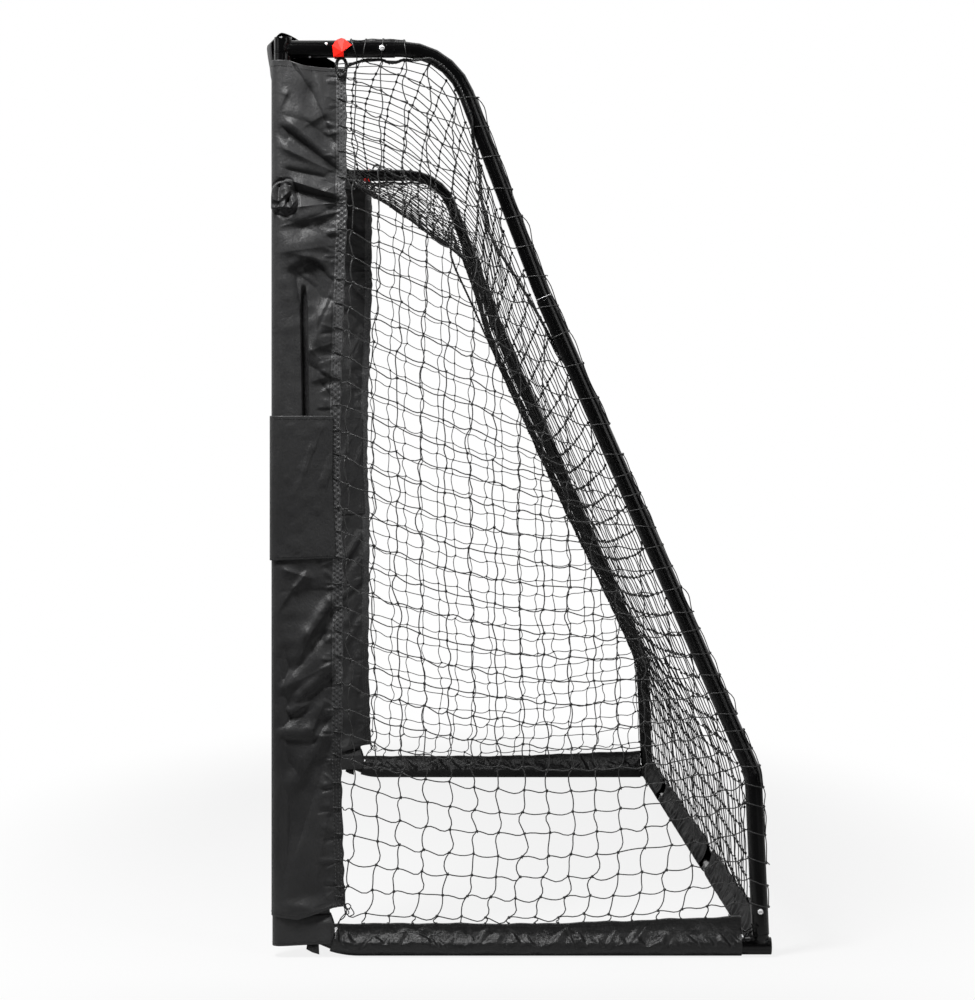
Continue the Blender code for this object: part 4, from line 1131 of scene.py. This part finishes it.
def hem_quilting(y, z):
    """The three stitched rows of the hem draw the cloth in between small pillows."""
    edge = hem_y(z) - y
    total = np.zeros_like(y)
    for n, row in enumerate((0.0042, 0.0098, 0.0158)):
        beat = 0.5 + 0.5 * np.sin(2 * math.pi * z / HEM_PITCH + 1.9 * n + 1.5 * np.sin(z * 40))
        total -= (0.0003 + 0.0006 * beat) * np.exp(-(((edge - row) / 0.0012) ** 2))
    beat = np.sin(z * 2 * math.pi / 0.0118 + 2.6 * np.sin(z * 23) + np.sin(z * 61))
    pillow = beat * np.sin(edge / 0.021 * 3 * math.pi)
    loose = 0.5 + 0.5 * np.sin(z * 9.0 + 2 * np.sin(z * 4.1))
    return total + (0.0004 + 0.0009 * loose) * (pillow + 0.9) * (edge < 0.021)


def crinkle(y, z, amount, seed):
    """Soft uneven waves over cloth."""
    rng = np.random.default_rng(seed)
    total = np.zeros_like(y)
    for size in (0.16, 0.09, 0.05, 0.032):
        for _ in range(3):
            turn = rng.uniform(0, math.pi)
            phase = rng.uniform(0, 6.3)
            bend = rng.uniform(0, 6.3)
            line = y * math.cos(turn) + z * math.sin(turn) + 0.012 * np.sin(7 * y + 5 * z + bend)
            total += size * np.sin(line * 2 * math.pi / size + phase) * np.sin(y * 9 + z * 4 + bend)
    return total * amount


def stitches(line, pitch=STITCH_PITCH, length=STITCH_LENGTH, out=(0, 0, 0)):
    """A row of sewing stitches along a line, each stitch a short thread."""
    line = resample(line, max(2, int(run_length(line)[-1] / pitch)))
    made = []
    for a, b in zip(line, line[1:]):
        half = (b - a) / (np.linalg.norm(b - a) + 1e-9) * length / 2
        middle = (a + b) / 2
        made.append(np.array([middle - half, middle + out, middle + half]))
    return made


def sew(name, made, slot="cover_fabric", radius=0.00045, paint=THREAD):
    keep(twines(name, made, radius, 4, paint), slot)


def cover_half(along):
    """Half the thickness of a post cover this far behind the post."""
    share = min(1.0, max(0.0, along) / COVER_DEPTH)
    return COVER_R - (COVER_R - HEM_HALF) * share * share * (3 - 2 * share)


def cover_ring(tail, grow, fine):
    """A post cover's section as (across, along, face); face runs from 1 on one side to -1 on the other."""
    hem = np.linspace(0, 0.024, int(18 * fine))
    flat = np.linspace(0.024, tail - 0.045, int(38 * fine))[1:]
    front = np.linspace(tail - 0.044, tail, int(42 * fine))
    along = tail - np.concatenate([hem, flat, front])
    half = np.array([cover_half(a) for a in along]) + grow
    turn = np.linspace(math.pi / 2, 3 * math.pi / 2, int(42 * fine))[1:-1]
    nose = np.stack([(COVER_R + grow) * np.sin(turn), (COVER_R + grow) * np.cos(turn), np.sin(turn)], 1)
    one = np.stack([half, along, np.ones(len(along))], 1)
    return np.concatenate([one, nose, one[::-1] * (-1, 1, -1)])


def cover_rings(levels, grows, short=0.0, fine=1.0):
    """A cover's sections at these heights, as arrays of across, y, z and face."""
    rings = []
    for z, grow in zip(levels, np.broadcast_to(grows, len(levels))):
        across, along, face = cover_ring(hem_y(z) - POST_Y - short, grow, fine).T
        rings.append((across, along + POST_Y, np.full(len(along), z), face))
    return np.array(rings).transpose(1, 0, 2)


def paint_hem(cover):
    """The hem's look on the part of a cover that lies along its hem."""
    cover.data.materials.append(HEM)
    centres = np.empty(len(cover.data.polygons) * 3)
    cover.data.polygons.foreach_get("center", centres)
    _, y, z = centres.reshape(-1, 3).T
    on_hem = y > hem_y(z) - HEM_WIDTH
    cover.data.polygons.foreach_set("material_index", on_hem.astype(np.int32))


def turned_edge(ring, x, up):
    """The two rings that turn a cover's open end inwards, up or down."""
    return [ring * (0.95, 1, 1) + (0.05 * x, 0, 0), ring * (0.94, 1, 1) + (0.06 * x, 0, up)]


def on_sides(y, face):
    """From 0 on a cover's round front to 1 on its flat sides."""
    return rising(y, POST_Y - 0.02, 0.03) * np.abs(face)


def cover_levels(fine):
    """The heights of a post cover's sections, closest together at the tied lump."""
    spans = ((0.0905, 0.14, 26), (0.14, 1.593, 700), (1.593, 1.687, 110), (1.687, COVER_TOP, 120))
    levels = [np.linspace(low, high, int(count * fine)) for low, high, count in spans]
    return np.unique(np.concatenate(levels))


def cover_lift(y, z, face, outside, deep, seed):
    """How far a post cover's cloth stands off its smooth form."""
    folds = COVER_FOLDS + hem_puckers(5)
    before_hem = 1 - rising(y, hem_y(z) - 0.024, 0.009)
    height = np.where(outside, folds_height(y, z, folds), folds_height(y, z - 0.02, folds) * 0.7)
    height = height + bulges(y, z) - POCKET_DEPTH * deep
    waves = crinkle(y, z, 0.007, seed) * before_hem
    lift = (height * (0.3 + 0.7 * before_hem) + waves) * on_sides(y, face)
    return lift + hem_quilting(y, z) * (np.abs(face) == 1)


def post_cover(side_name, side):
    """The fabric round a post, with the folds of the photograph, sewn together at its hem."""
    x = side * HALF
    fine = 1.0 if side > 0 else 0.6
    across, y, z, face = cover_rings(cover_levels(fine), 0.0, fine=fine)
    z = z + table(y, *COVER_FOOT_EDGE) * np.clip((0.14 - z) / 0.05, 0, 1)
    z = z + table(y, *COVER_TOP_EDGE) * rising(z, COVER_TOP - 0.03, 0.03)
    outside = face * side > 0
    deep = pocket(y, z) * outside
    lift = cover_lift(y, z, face, outside, deep, 3 + side)
    post = np.sqrt(np.clip(0.0212**2 - (y - POST_Y) ** 2, 0, None))
    keep_out = np.maximum(0.0032 - 0.017 * deep, post)
    pushed = np.sign(face) * np.maximum(np.abs(across) + lift, keep_out)
    across = np.where(face == 0, across, pushed)
    y = y + 0.0012 * np.sin(z * 115 + 2 * np.sin(z * 31)) * rising(y, hem_y(z) - 0.012, 0.012)
    out = np.stack([x + across, y, z], 2)
    if side > 0:
        out = out + tied_lump(out)
    whole = np.concatenate([turned_edge(out[0], x, 0.016)[::-1], out, turned_edge(out[-1], x, -0.016)])
    seam = (whole[:, :1] + whole[:, -1:]) / 2 + (0, 0.0012, 0)
    cover = skin(f"post_cover_look_{side_name}", np.concatenate([seam, whole, seam], 1), COVER, closed=False)
    paint_hem(cover)
    keep(cover, "cover_fabric", f"post_cover_{side_name}")
    return out


def tied_lump(points):
    """The crumpled lump of cloth that is tied on the front of the near cover."""
    y0, z0 = seen(*PHOTO_LUMP)
    y, z = points[:, :, 1], points[:, :, 2]
    near = rising(points[:, :, 0], HALF - 0.006, 0.012)
    a, b = (y - y0) / LUMP_WIDE, (z - z0) / LUMP_HIGH
    turn = np.arctan2(b, a)
    d = np.hypot(a, b) * (1 + 0.07 * np.sin(3 * turn + 0.8) + 0.05 * np.sin(5 * turn - 0.4))
    swirl = np.abs(np.sin(2.0 * turn + 4.5 * d + 0.6))
    ridges = 0.0045 * (0.55 - swirl) * np.clip(d * 2.2, 0, 1)
    body = (0.0066 + ridges) * np.exp(-(d**6)) - 0.004 * np.exp(-(((d - 1.15) / 0.1) ** 2))
    inside = np.clip((1.12 - d) / 0.2, 0, 1)
    lift = (body + folds_height(y, z, LUMP_FOLDS) * inside) * near
    shift = np.zeros_like(points)
    shift[:, :, 0] = lift
    shift[:, :, 1] = -0.45 * np.clip(lift, 0, None) * np.clip((y0 - y) / 0.02, 0, 1)
    return shift


def away_from(ring, centre, scale):
    """A ring's directions out from a centre, with each axis scaled."""
    away = (ring - centre) * scale
    return away / np.linalg.norm(away, axis=1)[:, None]


def cover_stitching(side_name, side, grid):
    """Three rows of stitches along the hem and one along the top and the lower edge."""
    rows, edges = [], []
    picks = (3, 7, 12) if side > 0 else (2, 4, 7)
    for face, way in ((grid, 1), (grid[:, ::-1], -1)):
        out = np.array([way * 0.0006, 0, 0])
        for pick in picks:
            line = face[:, pick]
            line = line[(line[:, 2] > 0.1) & (line[:, 2] < COVER_TOP)]
            rows += stitches(line + out, HEM_PITCH, 0.0042, out * 0.3)
    for ring in (grid[4], grid[-6]):
        edges += stitches(ring + away_from(ring, (side * HALF, POST_Y + 0.04, 0), (1, 0.3, 0)) * SHEET)
    sew(f"cover_stitches_{side_name}", edges)
    sew(f"hem_stitches_{side_name}", rows, radius=0.0005, paint=HEM_THREAD)


def cover_band(side_name, side):
    """The wide band of cloth round the cover, with a turned hem at its top and bottom."""
    middle = np.linspace(BAND_TOP - 0.002, BAND_FOOT + 0.003, 150)
    levels = np.array([BAND_TOP - 0.001, BAND_TOP, *middle, BAND_FOOT])
    grows = np.full(len(levels), 0.0036)
    grows[0] = 0.002
    across, y, z, face = cover_rings(levels, grows, 0.014)
    near_edge = np.minimum(1, np.minimum(BAND_TOP - z, z - BAND_FOOT) / 0.02)
    waves = folds_height(y, z, BAND_FOLDS) + crinkle(y, z, 0.006, 21)
    lift = np.maximum(waves * near_edge * on_sides(y, face), 0.0006)
    across = np.sign(across) * (np.abs(across) + lift)
    z = z + 0.004 * rising(y, POST_Y, 0.13) * np.clip((1.0 - z) / 0.12, 0, 1)
    grid = np.stack([side * HALF + across, y, z], 2)
    band = skin(f"cover_band_look_{side_name}", grid, COVER, closed=False, wall=SHEET)
    keep(band, "cover_fabric", f"cover_band_{side_name}")
    made = []
    for row in (4, len(grid) - 4):
        made += stitches(grid[row] + SHEET * np.sign(across[row])[:, None] * (1, 0, 0))
    sew(f"band_stitches_{side_name}", made)


def flap_half(along, z):
    """Half the flap's thickness: wide at the foot, inside the cover higher up."""
    loose = FLAP_R - 0.004 * (along / 0.11) ** 2
    tucked = min(loose, cover_half(along) - 0.0035)
    return max(0.001, loose + (tucked - loose) * rising(z, 0.07, 0.02))


def cover_flap(side_name, side):
    """The inner layer of the cover at the foot, open behind, with stitched edges."""
    x = side * HALF
    turn = np.linspace(math.pi / 2, 3 * math.pi / 2, 13)
    nose = FLAP_R * np.stack([np.cos(turn), np.sin(turn)], 1)
    rings = []
    for z in np.linspace(0.0245, 0.16, 40):
        reach = table(z, (0.02, 0.1103), (0.029, 0.1120), (0.058, 0.1125), (0.096, 0.1015), (0.2, 0.1))
        one = np.array([(reach * t, flap_half(reach * t, z)) for t in np.linspace(1, 0, 20)[:-1]])
        along, across = np.concatenate([one, nose, one[::-1] * (1, -1)]).T
        ripple = 0.0012 * np.sin(along * 70 + z * 60) * rising(along, 0, 0.05)
        rings.append(np.stack([x + across + ripple, POST_Y + along, np.full(len(along), z)], 1))
    grid = np.array(rings)
    rise = table(grid[:, :, 1], (POST_Y - 0.025, 0.0), (POST_Y + 0.11, 0.006))
    grid[:, :, 2] += rise * (grid[:, :, 2] < 0.09)
    flap = skin(f"cover_flap_{side_name}", grid, COVER, closed=False, wall=0.001)
    keep(flap, "cover_fabric")
    low = grid[2]
    made = stitches(grid[:24, 1] + (SHEET, 0, 0)) + stitches(grid[:24, -2] - (SHEET, 0, 0))
    made += stitches(low + away_from(low, (x, POST_Y + 0.04, low[0, 2]), (1, 0.2, 1)) * SHEET)
    sew(f"flap_stitches_{side_name}", made)


def crossbar_loop(share):
    """(back, up) of the crossbar cover's section from the crossbar's axis."""
    droop = hem_droop(share)
    hem = (0.1 + 0.012 * abs(share) ** 8, -0.03 - droop)
    ridge = 0.0219 + (0.039 - 0.0219) * share * share
    corners = [
        (hem[0], hem[1] + 0.004),
        (0.06, 0.004 - droop * 0.4),
        (0.0234, ridge - 0.004 - 0.0065 * share * share),
        (-0.004, ridge),
        (-0.022, ridge - 0.0085),
        (-0.037, ridge - 0.0215),
        (-0.0385, ridge - 0.026),
        (-0.034, -0.022),
        (-0.0245, -0.062 - droop * 0.1),
        (-0.008, -0.062 - droop * 0.2),
        (0.02, -0.056 - droop * 0.5),
        (0.065, -0.042 - droop * 0.8),
        (hem[0], hem[1] - 0.004),
    ]
    return smooth_line(corners, 60)


def crossbar_grid():
    """The points of the crossbar's cover: loose waves, gathered by the net along the hem."""
    reach = HALF - 0.0262
    shares = np.linspace(-1, 1, 260)
    back, up = np.array([crossbar_loop(share) for share in shares]).transpose(2, 0, 1)
    x = np.broadcast_to(shares[:, None] * reach, back.shape)
    to_hem = rising(back, 0.01, 0.1)
    under = np.linspace(0, 1, back.shape[1])[None, :] > 0.5
    gather = np.sin(x * 2 * math.pi / MESH + 0.6 * np.sin(x * 5))
    broad = np.sin(x * 2 * math.pi / 0.31 + 8 * back) * np.clip(to_hem * 2, 0, 1) * (1 - to_hem * 0.4)
    wave = 0.0028 * gather * to_hem**1.3 + 0.004 * broad
    front = np.clip((-0.01 - up) / 0.03, 0, 1) * np.clip((0.03 - back) / 0.04, 0, 1)
    loose = 0.0035 * np.sin(x * 2 * math.pi / 0.23 + 20 * up) * front
    free = np.clip((1 - np.abs(x) / reach) * 12, 0, 1)
    taper = rising(np.abs(x), reach - 0.045, 0.045) ** 1.5
    back = np.where(back < -0.002, -0.002 + (back + 0.002) * (1 - 0.32 * taper), back)
    up = up + wave * np.where(under, 1.25, 1.0) * free - 0.002 * under * to_hem
    back = back + (loose + 0.0012 * gather * to_hem) * free
    return np.stack([x, POST_Y + back, RAIL_Z + up], 2)


def crossbar_cover():
    """The loose cloth round the crossbar, stitched along its hem and laced to the net."""
    grid = crossbar_grid()
    cover = skin("crossbar_cover_look", grid, COVER, wall=SHEET)
    keep(cover, "cover_fabric", "crossbar_cover")
    made = []
    for pick, way in ((1, 1), (2, 1), (4, 1), (58, -1), (57, -1)):
        made += stitches(grid[:, pick] + (0, 0, way * SHEET), 0.006, 0.004)
    sew("crossbar_stitches", made)
    lacing = []
    for ring in grid[3 : len(grid) - 3 : 5]:
        hem, over, below = ring[1], ring[6], ring[58]
        start = hem + (0, 0.004, -0.004)
        ahead = [hem + (0, 0.001, 0.0015), over + (0.002, 0, 0.0016), over + (0.003, -0.004, -0.001)]
        lacing.append(smooth_line([start, *ahead], 8))
        lacing.append(smooth_line([start, below + (0, 0.001, -0.0015), below + (0.002, -0.012, 0.001)], 6))
    keep(twines("crossbar_lacing", lacing, TWINE_R, 5, TWINE), "net_twine")


def sleeve_loop(fin, half=0.003):
    """(up, across) of a sleeve's section: round under the tube, drawn together into a fin."""
    radius = WIDE_R + 0.0018
    t = np.linspace(0, 1, 20)[:-1]
    one = np.stack([fin + (radius * 0.45 - fin) * t, half + (radius * 0.9 - half) * t**2.2], 1)
    turn = np.linspace(math.radians(27), math.radians(-207), 44)
    round_part = radius * np.stack([np.sin(turn), np.cos(turn)], 1)
    return np.concatenate([one, round_part, one[::-1] * (1, -1)])


def sleeve_wrinkles(run, up, seed, amount):
    """Diagonal drag folds along a sleeve, stronger at places."""
    rng = np.random.default_rng(seed)
    length = run.max() - run.min()
    total = np.zeros_like(run)
    for _ in range(int(length * 85)):
        at = run.min() + rng.uniform(0, length)
        turn = rng.choice((-1, 1)) * rng.uniform(0.35, 1.1)
        size = rng.uniform(0.014, 0.048)
        wide = rng.uniform(0.0028, 0.008)
        a, b = run - at, up - rng.uniform(-0.012, 0.022)
        along = (a * math.cos(turn) + b * math.sin(turn)) / size
        off = (a * math.sin(turn) - b * math.cos(turn)) / wide
        crease = np.exp(-(off**2)) + 0.8 * off * np.exp(-(off**2) / 2)
        total += rng.uniform(0.4, 1.0) * np.exp(-(along**2)) * crease
    return total * amount


def sleeve_piece(name, run, fins, centre, paint, seed):
    """A sleeve on a base tube. run holds distances, fins the fin's heights, and centre maps to space."""
    sections = np.array([sleeve_loop(fin) for fin in fins])
    up, across = sections.transpose(2, 0, 1)
    r = np.broadcast_to(run[:, None], up.shape)
    lift = sleeve_wrinkles(r, up, seed, 0.0038) + crinkle(r, up, 0.01, seed)
    size = np.hypot(up, across)
    on_fin = rising(up, 0.024, 0.01)
    push = np.clip(lift, -0.0008, 0.005) * rising(up, -0.012, 0.02) * (1 - on_fin) / size
    across, up = across + push * across + on_fin * lift * 0.9, up + push * up * (up > 0)
    wavy = 0.0009 * np.sin(r * 41 + seed) + 0.0006 * np.sin(r * 97 + 2 * seed)
    up = up + wavy * rising(up, 0.03, 0.02)
    out = centre(r, up, across)
    look = name.replace("sleeve", "sleeve_look")
    sleeve = skin(look, out, paint, wall=SHEET)
    keep(sleeve, "sleeve_fabric", name)
    made = []
    last = up.shape[1] - 1
    for pick, way in ((3, 1), (9, 1), (last - 3, -1), (last - 9, -1)):
        made += stitches(centre(r[:, pick], up[:, pick], across[:, pick] + way * SHEET))
    sew(f"{look}_stitches", made, "sleeve_fabric", 0.0004)


def base_sleeve(side_name, side):
    """The sleeve along a base tube, from the post's bend to the rear corner."""
    end_y = FOOT_Y - (0.043 if side > 0 else 0.022)
    line = rounded([(POST_Y, 0.5), (POST_Y, BASE_Z), (end_y, BASE_Z)], [POST_BEND_R], math.radians(2))
    line = line[line[:, 0] >= POST_Y + 0.105]
    run = np.linspace(line[0, 0], line[-1, 0], 760)
    axis_z = np.interp(run, line[:, 0], line[:, 1])
    lean = np.gradient(axis_z, run)

    def centre(r, up, across):
        tilt = np.interp(r, run, lean) * (up < 0.03)
        return np.stack([side * HALF + across, r - tilt * up, np.interp(r, run, axis_z) + up], -1)

    fins = table(run, *SLEEVE_EDGE) - axis_z
    sleeve_piece(f"base_sleeve_{side_name}", run, fins, centre, SLEEVE, 31 + side)


def rear_sleeve(bar_name):
    """One of the three sleeves along the rear bar."""
    name = f"rear_sleeve_{bar_name}"
    low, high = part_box(name)
    run = np.linspace(low.x, high.x, int((high.x - low.x) * 300))

    def centre(r, up, across):
        return np.stack([r, FOOT_Y - across, BASE_Z + up], -1)

    fins = np.full(len(run), FIN_TOP - BASE_Z) + 0.003 * np.sin(run * 11)
    sleeve_piece(name, run, fins, centre, REAR_SLEEVE, 40 + len(bar_name))


def strap_tab(side_name, side):
    """The cut end of webbing that hangs below the cover's flap."""
    rings = []
    for n, (top, foot) in enumerate(PHOTO_TAB):
        out = HALF + 0.001 * n
        rings.append([(side * (out + 0.014), *seen(*top)), (side * (out + 0.0135), *seen(*foot))])
    tab = skin(f"strap_tab_{side_name}", rings, SLEEVE, closed=False, wall=0.0014)
    keep(tab, "cover_fabric")


# Floor, light and camera

def floor():
    """Paper: white for the camera but for some shading near the goal; its own tone changes with the place."""
    points = [(-9, -9, 0), (9, -9, 0), (9, 9, 0), (-9, 9, 0)]
    made = bpy.data.materials.new("floor_look")
    made.use_nodes = True
    tree = made.node_tree
    shader = tree.nodes["Principled BSDF"]
    place = axes(tree, coords(tree))
    paper = spread(tree, place["X"], 0.6, 0.1, HALF + 0.15, HALF + 0.7, "SMOOTHSTEP")
    rear = spread(tree, place["Y"], 0.0, 0.3, 1.0, 1.4, "SMOOTHSTEP")
    give(tree, shader, Roughness=0.9, Base_Color=mixed(tree, "MAXIMUM", paper, rear))
    away = node(tree, "ShaderNodeVectorMath", operation="LENGTH")
    tree.links.new(coords(tree, (0.5, 1, 1)), away.inputs[0])
    fade = spread(tree, away.outputs["Value"], 0.84, 1.0, 0.75, 1.7, "SMOOTHSTEP")
    by_camera = node(tree, "ShaderNodeLightPath").outputs["Is Camera Ray"]
    mix = node(tree, "ShaderNodeMixShader", Fac=mixed(tree, "MULTIPLY", by_camera, fade))
    tree.links.new(shader.outputs["BSDF"], mix.inputs[1])
    tree.links.new(node(tree, "ShaderNodeEmission").outputs["Emission"], mix.inputs[2])
    tree.links.new(mix.outputs["Shader"], tree.nodes["Material Output"].inputs["Surface"])
    item = new_mesh("floor", points, [(0, 1, 2, 3)], made, smooth=False)


def world():
    """White for the camera; for mirrors, white towards the backdrop and dim towards the camera's side."""
    made = bpy.data.worlds.new("studio")
    bpy.context.scene.world = made
    made.use_nodes = True
    tree = made.node_tree
    path = node(tree, "ShaderNodeLightPath").outputs
    clear = mixed(tree, "MAXIMUM", path["Is Camera Ray"], path["Is Transmission Ray"])
    way = axes(tree, node(tree, "ShaderNodeTexCoord").outputs["Generated"])
    backdrop = spread(tree, way["X"], 1.0, 0.02, -0.35, -0.05)
    mirrored = mixed(tree, "MULTIPLY", path["Is Glossy Ray"], backdrop)
    soft = mixed(tree, "MULTIPLY", path["Is Diffuse Ray"], 0.08)
    strength = mixed(tree, "MAXIMUM", mixed(tree, "MAXIMUM", clear, mirrored), soft)
    give(tree, tree.nodes["Background"], Color=(1, 1, 1, 1), Strength=strength)


def place(name, data, spot):
    """A lamp or camera in the scene."""
    item = bpy.data.objects.new(name, data)
    item.location = spot
    bpy.context.scene.collection.objects.link(item)
    return item


def lamp(name, spot, target, size, power):
    data = bpy.data.lights.new(name, "AREA")
    data.shape = "RECTANGLE"
    data.size, data.size_y = size
    data.energy = power
    way = Vector(target) - Vector(spot)
    place(name, data, spot).rotation_euler = way.to_track_quat("-Z", "Y").to_euler()


def camera():
    """A long lens beside the near side frame, level, as in the photograph."""
    data = bpy.data.cameras.new("camera")
    data.lens = 97.25
    data.sensor_width = 36
    data.shift_x = 0.0655
    data.shift_y = -0.075
    item = place("camera", data, (HALF + 5.85, -0.208, 1.150))
    item.rotation_euler = (math.pi / 2, 0, math.pi / 2)
    bpy.context.scene.camera = item


# Build

EACH_SIDE = (
    cord_loop, rail_clip, rivets, joint_edge_highlight, cover_band, cover_flap, base_sleeve,
    eyelets, strap_tab, hem_tangle, corner_tie, head_slot_shades,
)


def goal():
    dress_cad()
    for side_name, side in SIDES:
        cover = post_cover(side_name, side)
        cover_stitching(side_name, side, cover)
        ties = side_net(side_name, side, cover)
        border_rope(side_name, side)
        outer_twine(side_name, side, ties)
        for piece in EACH_SIDE:
            piece(side_name, side)
    rail_tangle()
    back_net()
    crossbar_cover()
    for bar_name in ("right", "middle", "left"):
        rear_sleeve(bar_name)


def studio():
    floor()
    world()
    lamp("key", (2.65, -1.15, 3.7), (1.48, -0.3, 1.3), (0.75, 0.75), 175)
    lamp("strip_mouth", (2.6, -3.2, 2.0), (1.45, -0.3, 1.5), (0.3, 1.9), 6)
    lamp("strip_rear", (3.75, 2.0, 1.8), (1.48, 0.2, 1.0), (0.6, 2.8), 26)
    lamp("back", (-3.5, 1.0, 4.2), (0, 0, 1.0), (3, 3), 12)
    camera()
    bpy.context.scene.view_settings.view_transform = "Standard"


goal()
studio()
